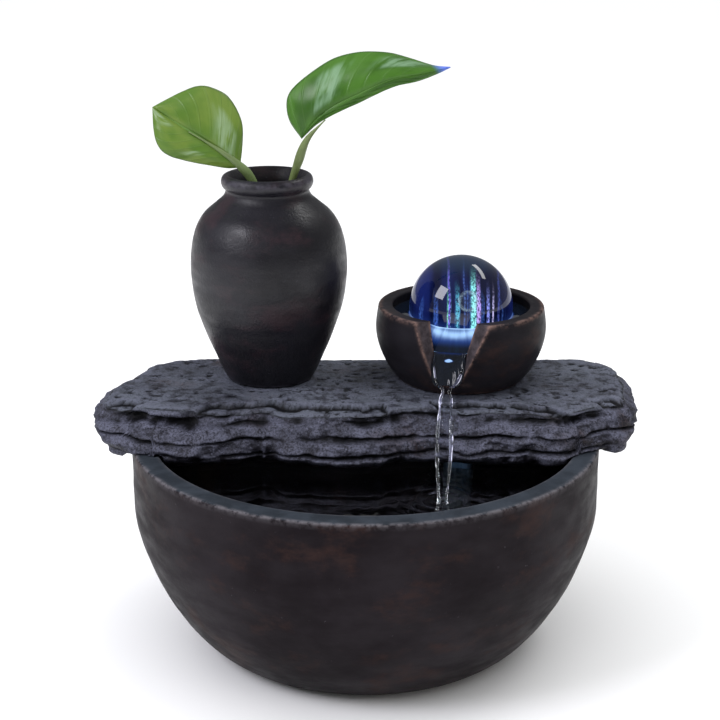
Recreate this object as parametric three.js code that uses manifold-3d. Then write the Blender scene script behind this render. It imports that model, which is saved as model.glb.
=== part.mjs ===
// A tabletop water fountain: a round basin, a rock-look slab that bridges its rim, a vase
// with two leaf sprigs, and a notched cup where a glass ball turns on a lit water jet.
// Millimetres, +Z up, origin on the table under the centre of the basin.
import * as THREE from 'three';
import { mergeVertices } from 'three/addons/utils/BufferGeometryUtils.js';
import Module from 'manifold-3d';

const wasm = await Module();
wasm.setup();

// ---- Sizes that can be set one by one -------------------------------------------------

const gap = 0.3; // left between pieces that touch
const slideGap = 0.4; // round a piece that moves or is pushed in

const basin = {
  height: 81.8, // table to rim
  radius: 88.8,
  footRadius: 55,
  waist: 56, // height of the widest ring
  rimWall: 8.5,
  wall: 6,
  floor: 6,
  sides: 48,
  cordNotchWidth: 9,
  cordNotchDepth: 8,
};

const pad = { radius: 6, thickness: 2.2, standoff: 0.8, inset: 9, count: 4 };

const slab = {
  rise: 15.2, // top surface above the rim
  drop: 6.5, // belly below the rim, inside the basin
  overhang: 14.2, // past the outside of the basin at each end
  depth: 73,
  backY: 44,
  lip: 1.8, // how far the ends hang below the rim outside the basin
  bellyClearance: 3,
};

const vase = {
  x: -37.1,
  y: 21.4,
  height: 80,
  radius: 30,
  footRadius: 17.2,
  neckRadius: 15.9,
  lipRadius: 17.5,
  wall: 3.6,
  sides: 32,
};

const cup = {
  x: 37.1,
  y: 21.4,
  height: 29,
  radius: 33,
  footRadius: 24.6,
  rimRadius: 32,
  wall: 5.6,
  floor: 4.4,
  sides: 40,
  notchRimOuter: 28.5,
  notchRimInner: 17.7,
  notchSillOuter: 9,
  notchSillInner: 7,
  notchSillRise: 0.6,
  notchLean: 1.6, // how far the notch's foot stands to the left of its top
  notchTurn: -10, // degrees away from straight ahead
};

const ball = { radius: 20, jetGap: 1 };

const seat = { innerRadius: 12, outerRadius: 15, slotWidth: 4.5, slotHeight: 4, slots: 3 };

const nozzle = { radius: 4, bore: 2.5, proud: 2.6, below: 5.5 };

const grommet = { thickness: 1.6, height: 8 };

const led = {
  radius: 10.5,
  depth: 10.4,
  wall: 1,
  lens: 1.6,
  board: 1,
  chip: 2.2,
  chipHeight: 1.2,
  chips: 4,
  leadRadius: 1.1,
};

const hose = { wall: 1.6, grip: 5 };

const pump = {
  x: 27,
  frontY: 0,
  width: 33,
  depth: 38,
  height: 38,
  corner: 4,
  coverDepth: 14,
  coverWall: 1.6,
  voluteThickness: 3,
  chamberRadius: 12,
  chamberDepth: 9.7,
  wellRadius: 6.4,
  wellDepth: 9.5,
  axisHeight: 18,
  footHeight: 2.7,
  footRadius: 5,
  spigotHeight: 6.6,
  foamThickness: 6,
};

const rotor = { shaft: 1, bladeHeight: 3.2, disc: 1.2, blades: 6, bushLength: 1.6 };

const dial = { radius: 7, thickness: 2.2, spindle: 1.6, dx: -7.2, dz: 4 };

const leaf = { stemRadius: 1.5, thickness: 1.4 };

// ---- Heights and places that follow from them -----------------------------------------

const slabTop = basin.height + slab.rise;
const slabBottom = basin.height - slab.drop;
const slabHalf = basin.radius + slab.overhang;
const slabMidY = slab.backY - slab.depth / 2;
const basinFloor = pad.standoff + basin.floor;
const cupFloor = slabTop + gap + cup.floor;
const nozzleTop = cupFloor + nozzle.proud;
const nozzleEnd = slabBottom - nozzle.below;
const ballCentre = nozzleTop + ball.jetGap + ball.radius;
const pumpBottom = basinFloor + 2 * gap + pump.footHeight;
const pumpTop = pumpBottom + pump.height;
const ledBottom = cupFloor - led.depth;
const boreRadius = nozzle.radius + slideGap;
const grommetRadius = boreRadius + grommet.thickness;
const leadReach = grommetRadius + gap + led.leadRadius + 1.2;

// ---- Shape helpers ---------------------------------------------------------------------

function solidFrom(geometry) {
  const bare = geometry.clone();
  bare.deleteAttribute('normal');
  bare.deleteAttribute('uv');
  const merged = mergeVertices(bare, 1e-4);
  return new wasm.Manifold(new wasm.Mesh({
    numProp: 3,
    vertProperties: Float32Array.from(merged.attributes.position.array),
    triVerts: Uint32Array.from(merged.index.array),
  }));
}

function geometryFrom(solid) {
  const mesh = solid.getMesh();
  const geometry = new THREE.BufferGeometry();
  geometry.setAttribute('position', new THREE.BufferAttribute(mesh.vertProperties, 3));
  geometry.setIndex(new THREE.BufferAttribute(mesh.triVerts, 1));
  geometry.computeVertexNormals();
  return geometry;
}

function cut(geometry, tools) {
  return geometryFrom(tools.reduce((solid, tool) => solid.subtract(solidFrom(tool)), solidFrom(geometry)));
}

function join(pieces) {
  const solids = pieces.map(solidFrom);
  return geometryFrom(solids.slice(1).reduce((solid, piece) => solid.add(piece), solids[0]));
}

function hullOf(points) {
  return geometryFrom(wasm.Manifold.hull(points));
}

function turned(profile, sides) {
  const points = profile.map(([radius, height]) => new THREE.Vector2(radius, height));
  return new THREE.LatheGeometry(points, sides).rotateX(Math.PI / 2);
}

function ring(inner, outer, bottom, top, sides) {
  return turned([[inner, bottom], [outer, bottom], [outer, top], [inner, top], [inner, bottom]], sides);
}

function disc(radius, bottom, top, sides) {
  return turned([[0, bottom], [radius, bottom], [radius, top], [0, top]], sides);
}

// The same shapes with their axis along +Y.
function alongY(geometry) {
  return geometry.rotateX(-Math.PI / 2);
}

function block(width, depth, height, x, y, z) {
  return new THREE.BoxGeometry(width, depth, height).translate(x, y, z);
}

function prism(outline, bottom, top) {
  const shape = new THREE.Shape(outline.map(([x, y]) => new THREE.Vector2(x, y)));
  const geometry = new THREE.ExtrudeGeometry(shape, { depth: top - bottom, bevelEnabled: false });
  return geometry.translate(0, 0, bottom);
}

// A box with four rounded edges along Y, its front face at y = front.
function roundedBlock(width, height, corner, front, back) {
  const x = width / 2 - corner;
  const z = height / 2 - corner;
  const shape = new THREE.Shape();
  shape.absarc(x, z, corner, 0, Math.PI / 2);
  shape.absarc(-x, z, corner, Math.PI / 2, Math.PI);
  shape.absarc(-x, -z, corner, Math.PI, 1.5 * Math.PI);
  shape.absarc(x, -z, corner, 1.5 * Math.PI, 2 * Math.PI);
  const options = { depth: back - front, bevelEnabled: false, curveSegments: 4 };
  return new THREE.ExtrudeGeometry(shape, options).rotateX(Math.PI / 2).translate(0, back, height / 2);
}

function tube(path, radius, steps) {
  const section = new THREE.Shape();
  section.absarc(0, 0, radius, 0, 2 * Math.PI);
  const curve = new THREE.CatmullRomCurve3(path.map((point) => new THREE.Vector3(...point)));
  const options = { steps, curveSegments: 4, bevelEnabled: false, extrudePath: curve };
  return new THREE.ExtrudeGeometry(section, options);
}

function paint(color, roughness, metalness = 0, opacity = 1) {
  return new THREE.MeshStandardMaterial({ color, roughness, metalness, opacity, transparent: opacity < 1 });
}

function place(parent, name, geometry, material, x = 0, y = 0, z = 0) {
  const mesh = new THREE.Mesh(geometry, material);
  mesh.name = name;
  mesh.position.set(x, y, z);
  parent.add(mesh);
  return mesh;
}

function group(parent, x, y, z) {
  const inner = new THREE.Group();
  inner.position.set(x, y, z);
  parent.add(inner);
  return inner;
}

// ---- Basin -----------------------------------------------------------------------------

// Outer radius of the basin: a superellipse up to the waist, then straight to the rim.
function basinRadiusAt(height) {
  if (height >= basin.waist) {
    return basin.radius;
  }
  const share = Math.pow(1 - height / basin.waist, 1.43);
  return basin.footRadius + (basin.radius - basin.footRadius) * Math.pow(1 - share, 1 / 1.62);
}

function basinInnerRadius(height) {
  const lift = Math.max(0, height - basinFloor) / (basin.height - basinFloor);
  const wall = basin.wall + (basin.rimWall - basin.wall) * lift;
  return basinRadiusAt(height) - wall;
}

function buildBasin(parent) {
  const steps = 7;
  const outer = [[0, pad.standoff], [basin.footRadius - 2, pad.standoff]];
  const inner = [];
  for (let i = 0; i <= steps; i += 1) {
    const share = i / steps;
    const height = pad.standoff + 1.5 + (basin.waist - pad.standoff - 1.5) * Math.pow(share, 1.4);
    outer.push([basinRadiusAt(height), height]);
  }
  outer.push([basin.radius, basin.height - 1]);
  outer.push([basin.radius - 1, basin.height]);
  inner.push([basin.radius - basin.rimWall + 1, basin.height]);
  inner.push([basin.radius - basin.rimWall, basin.height - 1]);
  for (let i = steps; i >= 0; i -= 1) {
    const height = basinFloor + 1.5 + (basin.waist - basinFloor - 1.5) * Math.pow(i / steps, 1.4);
    inner.push([basinInnerRadius(height), height]);
  }
  inner.push([basinInnerRadius(basinFloor + 1.5) - 3, basinFloor]);
  inner.push([0, basinFloor]);
  const padReach = basin.footRadius - pad.inset;
  const pocketTop = pad.thickness + gap;
  const cuts = padPlaces(padReach).map(([x, y]) => (
    disc(pad.radius + gap, 0, pocketTop, 20).translate(x, y, 0)
  ));
  const notchHalf = basin.cordNotchWidth / 2;
  const notchBase = basin.height - basin.cordNotchDepth;
  const notchY = basin.radius - basin.rimWall / 2;
  const notchFoot = alongY(disc(notchHalf, -basin.rimWall, basin.rimWall, 16));
  cuts.push(notchFoot.translate(0, notchY, notchBase + notchHalf));
  const slotMid = notchBase + notchHalf + basin.cordNotchDepth / 2;
  cuts.push(block(basin.cordNotchWidth, 2 * basin.rimWall, basin.cordNotchDepth, 0, notchY, slotMid));
  const body = cut(turned([...outer, ...inner], basin.sides), cuts);
  place(parent, 'basin', body, paint(0x23242c, 0.5));
  padPlaces(padReach).forEach(([x, y], index) => {
    const body = disc(pad.radius, 0, pad.thickness, 20);
    place(parent, `foot_pad_${index + 1}`, body, paint(0x2b2b2b, 0.9), x, y, 0);
  });
}

function padPlaces(reach) {
  return Array.from({ length: pad.count }, (_, index) => {
    const turn = Math.PI / pad.count + (2 * Math.PI * index) / pad.count;
    return [reach * Math.cos(turn), reach * Math.sin(turn)];
  });
}

// ---- Rock slab -------------------------------------------------------------------------

// A rounded rectangle with a broken, wavy edge that reaches just halfLength at both ends.
function rockOutline(halfLength, front, back, wave, phase) {
  const points = 36;
  const midY = (front + back) / 2;
  const halfDepth = (back - front) / 2;
  const outline = Array.from({ length: points }, (_, index) => {
    const turn = (2 * Math.PI * index) / points;
    const c = Math.cos(turn);
    const s = Math.sin(turn);
    const swell = Math.sin(7 * turn + phase) * 0.6 + Math.sin(13 * turn + 2 * phase) * 0.4;
    const ripple = 1 - wave * (1 + swell) / 2;
    const x = Math.sign(c) * Math.pow(Math.abs(c), 0.42) * halfLength;
    const y = Math.sign(s) * Math.pow(Math.abs(s), 0.42) * halfDepth;
    return [x * (1 - (1 - ripple) * Math.abs(c)), midY + y * ripple];
  });
  const right = halfLength / Math.max(...outline.map(([x]) => x));
  const left = -halfLength / Math.min(...outline.map(([x]) => x));
  return outline.map(([x, y]) => [x * (x < 0 ? left : right), y]);
}

// One layer of slate, its lower edge drawn in or out about the slab's middle.
function rockLayer(outline, bottom, top, lowerScale) {
  const geometry = prism(outline, bottom, top);
  const position = geometry.attributes.position;
  for (let i = 0; i < position.count; i += 1) {
    if (position.getZ(i) < (bottom + top) / 2) {
      position.setX(i, position.getX(i) * lowerScale);
      position.setY(i, slabMidY + (position.getY(i) - slabMidY) * lowerScale);
    }
  }
  return geometry;
}

function buildSlab(parent) {
  const front = slab.backY - slab.depth;
  const rim = basin.height;
  const upper = rim + slab.rise * 0.6;
  const middle = rim + slab.rise * 0.26;
  const layers = [
    rockLayer(rockOutline(slabHalf - 3, front + 8, slab.backY, 0.05, 0.4), upper - 0.5, slabTop, 1.015),
    rockLayer(rockOutline(slabHalf, front + 3, slab.backY, 0.07, 2.1), middle - 0.5, upper, 1),
    rockLayer(rockOutline(slabHalf - 5, front, slab.backY - 1, 0.06, 4.2), rim - slab.lip, middle, 0.96),
  ];
  const bellyRadius = basin.radius - basin.rimWall - slab.bellyClearance;
  const bellyOutline = rockOutline(bellyRadius + 4, front + 3, slab.backY - 3, 0.08, 5.3);
  const belly = solidFrom(rockLayer(bellyOutline, slabBottom, rim + 1, 0.94));
  const insideRim = solidFrom(disc(bellyRadius, slabBottom - 1, rim + 2, basin.sides));
  layers.push(geometryFrom(belly.intersect(insideRim)));
  const rimInside = basin.radius - basin.rimWall - slideGap;
  const rimOutside = basin.radius + slideGap;
  const pocketRadius = led.radius + slideGap;
  const grommetTop = slabBottom + grommet.height + 2 * gap;
  const cuts = [
    ring(rimInside, rimOutside, slabBottom - 5, rim + gap, 2 * basin.sides),
    disc(pocketRadius, ledBottom - gap, slabTop + 1, 32).translate(cup.x, cup.y, 0),
    disc(boreRadius, slabBottom - 1, slabTop, 24).translate(cup.x, cup.y, 0),
    disc(grommetRadius + gap, slabBottom - 1, grommetTop, 24).translate(cup.x, cup.y, 0),
    disc(led.leadRadius + slideGap, slabBottom - 1, slabTop, 12).translate(cup.x - leadReach, cup.y, 0),
  ];
  place(parent, 'rock_slab', cut(join(layers), cuts), paint(0x2c2f35, 0.85));
}

// ---- Vase ------------------------------------------------------------------------------

function buildVase(parent) {
  const base = group(parent, vase.x, vase.y, slabTop + gap);
  const { height, radius, footRadius, neckRadius, lipRadius, wall } = vase;
  const shoulder = [
    [footRadius, 0.4], [footRadius + 2.3, 6], [footRadius + 0.6 * (radius - footRadius), 0.24 * height],
    [footRadius + 0.86 * (radius - footRadius), 0.37 * height], [radius, 0.52 * height],
    [radius - 0.3, 0.63 * height], [radius - 2.3, 0.74 * height], [radius - 5.6, 0.81 * height],
    [neckRadius + 4, 0.86 * height], [neckRadius + 0.9, 0.895 * height], [neckRadius, 0.925 * height],
  ];
  const curve = new THREE.SplineCurve(shoulder.map(([r, z]) => new THREE.Vector2(r, z)));
  const outer = curve.getPoints(12).map((point) => [point.x, point.y]);
  const lip = [
    [lipRadius - 0.4, 0.945 * height], [lipRadius, 0.968 * height], [lipRadius - 0.5, 0.988 * height],
    [lipRadius - 2, height], [neckRadius - 1.2, height - 0.6], [neckRadius - wall * 0.66, height - 3],
  ];
  const inner = outer.filter(([, z]) => z > wall + 2).reverse().map(([r, z]) => [r - wall, z]);
  const profile = [[0, 0], [footRadius - 0.6, 0], ...outer, ...lip, ...inner];
  profile.push([footRadius - wall, wall + 0.6]);
  profile.push([0, wall]);
  place(base, 'vase', turned(profile, vase.sides), paint(0x1f1b20, 0.38));
}

// A sprig stands in the vase: its stem is upright inside the mouth, so it lifts straight out.
function buildSprig(parent, name, stem, outline, colors) {
  const path = stem.map(([x, z]) => [x, 0, z]);
  place(parent, `${name}_stem`, tube(path, leaf.stemRadius, 12), paint(colors.stem, 0.5));
  const shape = new THREE.Shape();
  shape.moveTo(...outline[0]);
  shape.splineThru(outline.slice(1).map(([x, z]) => new THREE.Vector2(x, z)));
  const options = { depth: leaf.thickness, bevelEnabled: false, curveSegments: 2 };
  const blade = new THREE.ExtrudeGeometry(shape, options).rotateX(Math.PI / 2);
  place(parent, `${name}_blade`, blade.translate(0, leaf.thickness / 2, 0), paint(colors.blade, 0.3));
}

function buildSprigs(parent) {
  const mouth = slabTop + gap + vase.height;
  const leftSprig = group(parent, vase.x - 4, vase.y, mouth);
  const leftStem = [[0, 12 - vase.height], [0, -22], [-0.7, -10], [-2.2, -1], [-5.4, 3]];
  const leftBlade = [
    [-6.3, 4.2], [-6.2, 9], [-4.6, 19], [-10.5, 30], [-18, 34.6], [-26, 34.3],
    [-34, 29.4], [-38.4, 25], [-36.6, 17], [-31.5, 9.5], [-22, 4.4], [-13, 3.2], [-6.9, 3.6],
  ];
  const leafColors = { stem: 0x6f9a4e, blade: 0x3c7a26 };
  buildSprig(leftSprig, 'sprig_left', leftStem, leftBlade, leafColors);
  const rightSprig = group(parent, vase.x + 5.5, vase.y, mouth);
  const rightStem = [[0, 14 - vase.height], [0, -22], [1.2, -10], [4.2, -1], [6.4, 10.4]];
  const rightBlade = [
    [6.9, 11.2], [3.4, 20], [3, 28], [7.6, 35.4], [19, 43], [33, 45.8], [47.5, 43.4],
    [62, 39.4], [52, 36], [36, 29.4], [22, 20.5], [13.5, 12.6], [7.6, 11],
  ];
  buildSprig(rightSprig, 'sprig_right', rightStem, rightBlade, leafColors);
}

// ---- Cup, ball, jet and light ----------------------------------------------------------

// The notch keeps one width inside the cup and flares through the wall, more at the rim than at the
// sill. Its faces start from the wall's inner edge at both levels.
function notchTool(sill, top) {
  const { radius, rimRadius, wall, notchLean } = cup;
  const halves = [
    [sill, cup.notchSillInner / 2, cup.notchSillOuter / 2, radius - 10.7, notchLean],
    [top, cup.notchRimInner / 2, cup.notchRimOuter / 2, rimRadius - wall - 1.5, 0],
  ];
  const start = seat.outerRadius + 4;
  const reach = radius + 4;
  const slot = [];
  const flare = [];
  for (const [z, inner, outer, edge, lean] of halves) {
    const far = inner + (outer - inner) * (reach - edge) / (z === top ? 3.8 : wall);
    slot.push([-inner - lean, -start, z], [inner - lean, -start, z]);
    slot.push([-inner - lean, -edge - 0.5, z], [inner - lean, -edge - 0.5, z]);
    flare.push([-inner - lean, -edge, z], [inner - lean, -edge, z]);
    flare.push([-far - lean, -reach, z], [far - lean, -reach, z]);
  }
  return join([hullOf(slot), hullOf(flare)]);
}

function buildCup(parent) {
  const base = group(parent, cup.x, cup.y, slabTop + gap);
  const { height, radius, footRadius, rimRadius, wall, floor } = cup;
  const flank = [
    [footRadius, 0.4], [footRadius + 4, 0.2 * height], [radius - 1.2, 0.45 * height],
    [radius, 0.7 * height], [rimRadius, height - 1],
  ];
  const curve = new THREE.SplineCurve(flank.map(([r, z]) => new THREE.Vector2(r, z)));
  const outer = curve.getPoints(7).map((point) => [point.x, point.y]);
  const inner = outer.filter(([, z]) => z > floor + 3).reverse().map(([r, z]) => [r - wall, z]);
  const profile = [[0, 0], [footRadius - 0.6, 0], ...outer];
  profile.push([rimRadius - 1, height], [rimRadius - wall + 1, height], ...inner);
  profile.push([inner.at(-1)[0] - 3, floor]);
  profile.push([0, floor]);
  const notch = notchTool(floor + cup.notchSillRise, height + 1);
  notch.rotateZ(THREE.MathUtils.degToRad(cup.notchTurn));
  const well = disc(led.radius + slideGap, -1, floor + 1, 32);
  place(base, 'ball_cup', cut(turned(profile, cup.sides), [notch, well]), paint(0x2a2324, 0.42));
}

// The seat's top follows the ball, so the ball turns just clear of it.
function seatHeight(radius) {
  return ballCentre - Math.sqrt((ball.radius + gap) ** 2 - radius ** 2) - 0.1;
}

function buildBall(parent) {
  const base = group(parent, cup.x, cup.y, 0);
  const sphere = new THREE.SphereGeometry(ball.radius, 28, 16).rotateX(Math.PI / 2);
  place(base, 'glass_ball', sphere, paint(0x1c3fb0, 0.05, 0, 0.6), 0, 0, ballCentre);
  const bottom = cupFloor + gap;
  const { innerRadius, outerRadius } = seat;
  const middle = (innerRadius + outerRadius) / 2;
  const profile = [
    [innerRadius, bottom], [outerRadius, bottom], [outerRadius, seatHeight(outerRadius)],
    [middle, seatHeight(middle)], [innerRadius, seatHeight(innerRadius)], [innerRadius, bottom],
  ];
  const slots = Array.from({ length: seat.slots }, (_, index) => {
    const level = bottom + seat.slotHeight / 2 - 0.5;
    const slot = block(outerRadius, seat.slotWidth, seat.slotHeight, outerRadius, 0, level);
    return slot.rotateZ((2 * Math.PI * index) / seat.slots + Math.PI / 6);
  });
  place(base, 'ball_seat', cut(turned(profile, 36), slots), paint(0xdfe6ea, 0.15, 0, 0.5));
}

function buildJet(parent) {
  const base = group(parent, cup.x, cup.y, 0);
  const spigotTop = pumpTop + gap + pump.spigotHeight;
  const pipe = ring(nozzle.bore, nozzle.radius, nozzleEnd, nozzleTop, 24);
  place(base, 'jet_nozzle', pipe, paint(0xe8ecef, 0.2, 0, 0.6));
  const grommetFoot = slabBottom + gap;
  const grommetBody = ring(boreRadius, grommetRadius, grommetFoot, grommetFoot + grommet.height, 24);
  place(base, 'nozzle_grommet', grommetBody, paint(0x1d1d1d, 0.8));
  const hoseInner = boreRadius;
  const hoseBottom = spigotTop - hose.grip;
  const hoseBody = ring(hoseInner, hoseInner + hose.wall, hoseBottom, slabBottom - gap, 24);
  place(base, 'riser_hose', hoseBody, paint(0xcfd6d8, 0.35, 0, 0.7));
  const spigot = turned([
    [nozzle.bore, 0], [nozzle.radius + 2, 0], [nozzle.radius + 2, 1.2], [nozzle.radius, 1.2],
    [nozzle.radius, pump.spigotHeight], [nozzle.bore, pump.spigotHeight], [nozzle.bore, 0],
  ], 24);
  place(base, 'outlet_spigot', spigot, paint(0x17181a, 0.45), 0, 0, pumpTop + gap);
}

function buildLight(parent) {
  const base = group(parent, cup.x, cup.y, ledBottom);
  const { radius, depth, wall, lens, board, chip, chipHeight } = led;
  const bore = boreRadius;
  const canTop = depth - lens - gap;
  const can = turned([
    [bore, 0], [radius, 0], [radius, canTop], [radius - wall, canTop], [radius - wall, wall],
    [bore + wall, wall], [bore + wall, canTop], [bore, canTop], [bore, 0],
  ], 32);
  place(base, 'led_can', can, paint(0xe9e9e6, 0.4));
  const boardBottom = wall + gap;
  const boardTop = boardBottom + board;
  const boardRing = ring(bore + wall + gap, radius - wall - gap, boardBottom, boardTop, 32);
  place(base, 'led_board', boardRing, paint(0x1f6b3a, 0.5));
  const chipReach = (bore + radius) / 2;
  for (let index = 0; index < led.chips; index += 1) {
    const turn = (2 * Math.PI * index) / led.chips + Math.PI / 4;
    const body = block(chip, chip, chipHeight, 0, 0, chipHeight / 2);
    const x = chipReach * Math.cos(turn);
    const y = chipReach * Math.sin(turn);
    place(base, `led_chip_${index + 1}`, body, paint(0x7fa8ff, 0.2), x, y, boardTop + gap);
  }
  place(base, 'led_lens', ring(bore, radius, depth - lens, depth, 32), paint(0xdfe8ff, 0.1, 0, 0.5));
}

// The light's lead drops through the slab and curves over to its socket on the pump.
function buildLead(parent) {
  const x = cup.x - leadReach;
  const socketX = pump.x - 8;
  const socketY = pump.frontY + pump.depth - 9;
  const socketTop = pumpTop + gap + 4;
  const path = [
    [x, cup.y, ledBottom - gap], [x, cup.y, slabBottom + 2], [x, cup.y, slabBottom - 3],
    [(x + socketX) / 2, (cup.y + socketY) / 2, (slabBottom + socketTop) / 2 - 1],
    [socketX, socketY, socketTop + 5], [socketX, socketY, socketTop + gap],
  ];
  place(parent, 'led_lead', tube(path, led.leadRadius, 24), paint(0x141414, 0.5));
  place(parent, 'led_socket', disc(2.6, 0, 4, 16), paint(0x1b1c1e, 0.5), socketX, socketY, pumpTop + gap);
}

// ---- Pump ------------------------------------------------------------------------------

function buildPump(parent) {
  const base = group(parent, pump.x, pump.frontY, pumpBottom);
  const axis = pump.axisHeight;
  const caseFront = pump.coverDepth + gap;
  const chamberBack = caseFront + pump.chamberDepth;
  const wellBack = chamberBack + pump.wellDepth;
  const bushRadius = rotor.shaft + gap + 1.2;
  const sealMid = pump.chamberRadius + 1.4;
  const ductX = cup.x - pump.x;
  const ductY = cup.y - pump.frontY;

  const shell = roundedBlock(pump.width, pump.height, pump.corner, caseFront, pump.depth);
  const caseCuts = [
    alongY(disc(pump.chamberRadius, caseFront - 1, chamberBack, 32)).translate(0, 0, axis),
    alongY(disc(pump.wellRadius, chamberBack - 1, wellBack, 24)).translate(0, 0, axis),
    alongY(disc(bushRadius + gap, wellBack - 1, wellBack + rotor.bushLength + gap, 20)).translate(0, 0, axis),
    alongY(ring(sealMid - 0.9, sealMid + 0.9, caseFront - 1, caseFront + 1.3, 32)).translate(0, 0, axis),
    disc(nozzle.bore, axis, pump.height + 1, 16).translate(ductX, ductY, 0),
  ];
  place(base, 'pump_case', cut(shell, caseCuts), paint(0x15171a, 0.45));
  const seal = alongY(ring(sealMid - 0.6, sealMid + 0.6, caseFront, caseFront + 1, 32));
  place(base, 'pump_seal', seal, paint(0x8a4a2a, 0.7), 0, 0, axis);

  const inset = pump.coverWall + slideGap;
  const voluteBack = pump.coverDepth;
  const voluteFront = voluteBack - pump.voluteThickness;
  const plateWidth = pump.width - 2 * inset;
  const plateHeight = pump.height - 2 * inset;
  const plate = roundedBlock(plateWidth, plateHeight, pump.corner - inset / 2, voluteFront, voluteBack);
  plate.translate(0, 0, inset);
  const voluteCuts = Array.from({ length: 6 }, (_, index) => {
    const turn = (Math.PI * index) / 3;
    const hole = alongY(disc(1.7, voluteFront - 1, voluteBack + 1, 12));
    return hole.translate(5.6 * Math.cos(turn), 0, axis + 5.6 * Math.sin(turn));
  });
  voluteCuts.push(alongY(disc(bushRadius + gap, voluteBack - 2, voluteBack + 1, 20)).translate(0, 0, axis));
  place(base, 'pump_volute', cut(plate, voluteCuts), paint(0x1c1f23, 0.4));

  const bushBody = () => alongY(ring(rotor.shaft + gap / 2, bushRadius, 0, rotor.bushLength, 20));
  place(base, 'bush_front', bushBody(), paint(0x2a2a2a, 0.7), 0, voluteBack - 2 + gap, axis);
  place(base, 'bush_rear', bushBody(), paint(0x2a2a2a, 0.7), 0, wellBack, axis);
  const shaftStart = voluteBack - 2 + gap;
  const shaftEnd = wellBack + rotor.bushLength;
  const shaft = alongY(disc(rotor.shaft, shaftStart, shaftEnd, 16));
  place(base, 'rotor_shaft', shaft, paint(0xe4ded2, 0.25), 0, 0, axis);

  buildRotor(base, caseFront, chamberBack, wellBack, axis);
  buildCover(base, voluteFront, inset);
  buildPumpTrim(base);
}

function buildRotor(base, caseFront, chamberBack, wellBack, axis) {
  const bore = rotor.shaft + slideGap;
  const discFront = chamberBack - 1 - rotor.disc;
  const bladeFront = discFront - rotor.bladeHeight;
  const bladeReach = pump.chamberRadius - 2.4;
  const pieces = [
    alongY(ring(bore, bladeReach, discFront, discFront + rotor.disc, 28)),
    alongY(ring(bore, bore + 1.6, bladeFront, discFront + 0.2, 20)),
  ];
  for (let index = 0; index < rotor.blades; index += 1) {
    const length = bladeReach - bore - 1.2;
    const blade = block(length, rotor.bladeHeight + 0.2, 1.2, bore + 1 + length / 2, bladeFront + rotor.bladeHeight / 2 + 0.1, 0);
    pieces.push(blade.rotateY((2 * Math.PI * index) / rotor.blades));
  }
  place(base, 'impeller', join(pieces), paint(0xe6e6e2, 0.4), 0, 0, axis);
  const magnet = alongY(ring(bore, pump.wellRadius - 0.8, chamberBack + gap - 1, wellBack - 0.8, 24));
  place(base, 'rotor_magnet', magnet, paint(0x3a3b3e, 0.35, 0.6), 0, 0, axis);
}

function buildCover(base, voluteFront, inset) {
  const wall = pump.coverWall;
  const outer = roundedBlock(pump.width, pump.height, pump.corner, 0, pump.coverDepth);
  const inner = roundedBlock(pump.width - 2 * wall, pump.height - 2 * wall, pump.corner - wall / 2, wall, pump.coverDepth + 1);
  inner.translate(0, 0, wall);
  const cuts = [inner];
  const slotLength = pump.width / 2 - dial.dx - dial.radius - 6.5;
  const slotX = pump.width / 2 - 3.5 - slotLength / 2;
  for (let height = 7; height < pump.height - 5; height += 5) {
    cuts.push(block(slotLength, 3 * wall, 2, slotX, wall / 2, height));
  }
  const dialZ = pump.height / 2 + dial.dz;
  cuts.push(alongY(disc(dial.spindle + slideGap, -1, wall + 1, 16)).translate(dial.dx, 0, dialZ));
  place(base, 'pump_cover', cut(outer, cuts), paint(0x17191c, 0.4));

  const foamBack = voluteFront - gap;
  const foamInset = inset + 0.2;
  const foam = block(
    pump.width - 2 * foamInset - 3, pump.foamThickness, pump.height - 2 * foamInset - 3,
    0, foamBack - pump.foamThickness / 2, pump.height / 2,
  );
  place(base, 'filter_foam', foam, paint(0x26282a, 0.95));

  const face = alongY(disc(dial.radius, -gap - dial.thickness, -gap, 28));
  const grip = block(2, 1.6, 2 * dial.radius - 3, 0, -gap - dial.thickness - 0.6, 0);
  const spindle = alongY(disc(dial.spindle, -gap - 0.2, wall + 0.6, 16));
  place(base, 'flow_dial', join([face, grip, spindle]), paint(0x2b2e33, 0.3), dial.dx, 0, dialZ);
}

function buildPumpTrim(base) {
  const footX = pump.width / 2 - 7;
  const footYs = [9, pump.depth - 8];
  const cupProfile = [[0, 0.7], [pump.footRadius - 1, 0], [pump.footRadius, 0.3], [2.2, 1.5], [2, pump.footHeight], [0, pump.footHeight]];
  const places = footYs.flatMap((y) => [[-footX, y], [footX, y]]);
  places.forEach(([x, y], index) => {
    const body = turned(cupProfile, 20);
    place(base, `suction_cup_${index + 1}`, body, paint(0x2d3033, 0.35), x, y, -gap - pump.footHeight);
  });
  const plate = block(0.8, 16, 10, pump.width / 2 + gap + 0.4, pump.coverDepth + 11, pump.height * 0.62);
  place(base, 'rating_plate', plate, paint(0xc9ccd0, 0.5));
  const gland = turned([[0, 0], [4.4, 0], [4.4, 1], [3.4, 7], [2.6, 7], [2.6, 1.5], [0, 1.5]], 20);
  place(base, 'cable_gland', alongY(gland), paint(0x121314, 0.6), -8, pump.depth + gap, 12);
}

// ---- Assembly --------------------------------------------------------------------------

const fountain = new THREE.Group();
fountain.name = 'tabletop_fountain';
buildBasin(fountain);
buildSlab(fountain);
buildVase(fountain);
buildSprigs(fountain);
buildCup(fountain);
buildBall(fountain);
buildJet(fountain);
buildLight(fountain);
buildLead(fountain);
buildPump(fountain);

export default fountain;
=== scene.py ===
"""A tabletop water fountain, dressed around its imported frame.

The frame gives every size that a piece seats on. Each sub-assembly is a class that works its
surfaces out with numpy, in millimetres, and turns them into meshes in metres.
"""

import logging
import math
from dataclasses import dataclass, field
from enum import Enum
from itertools import product

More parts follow.
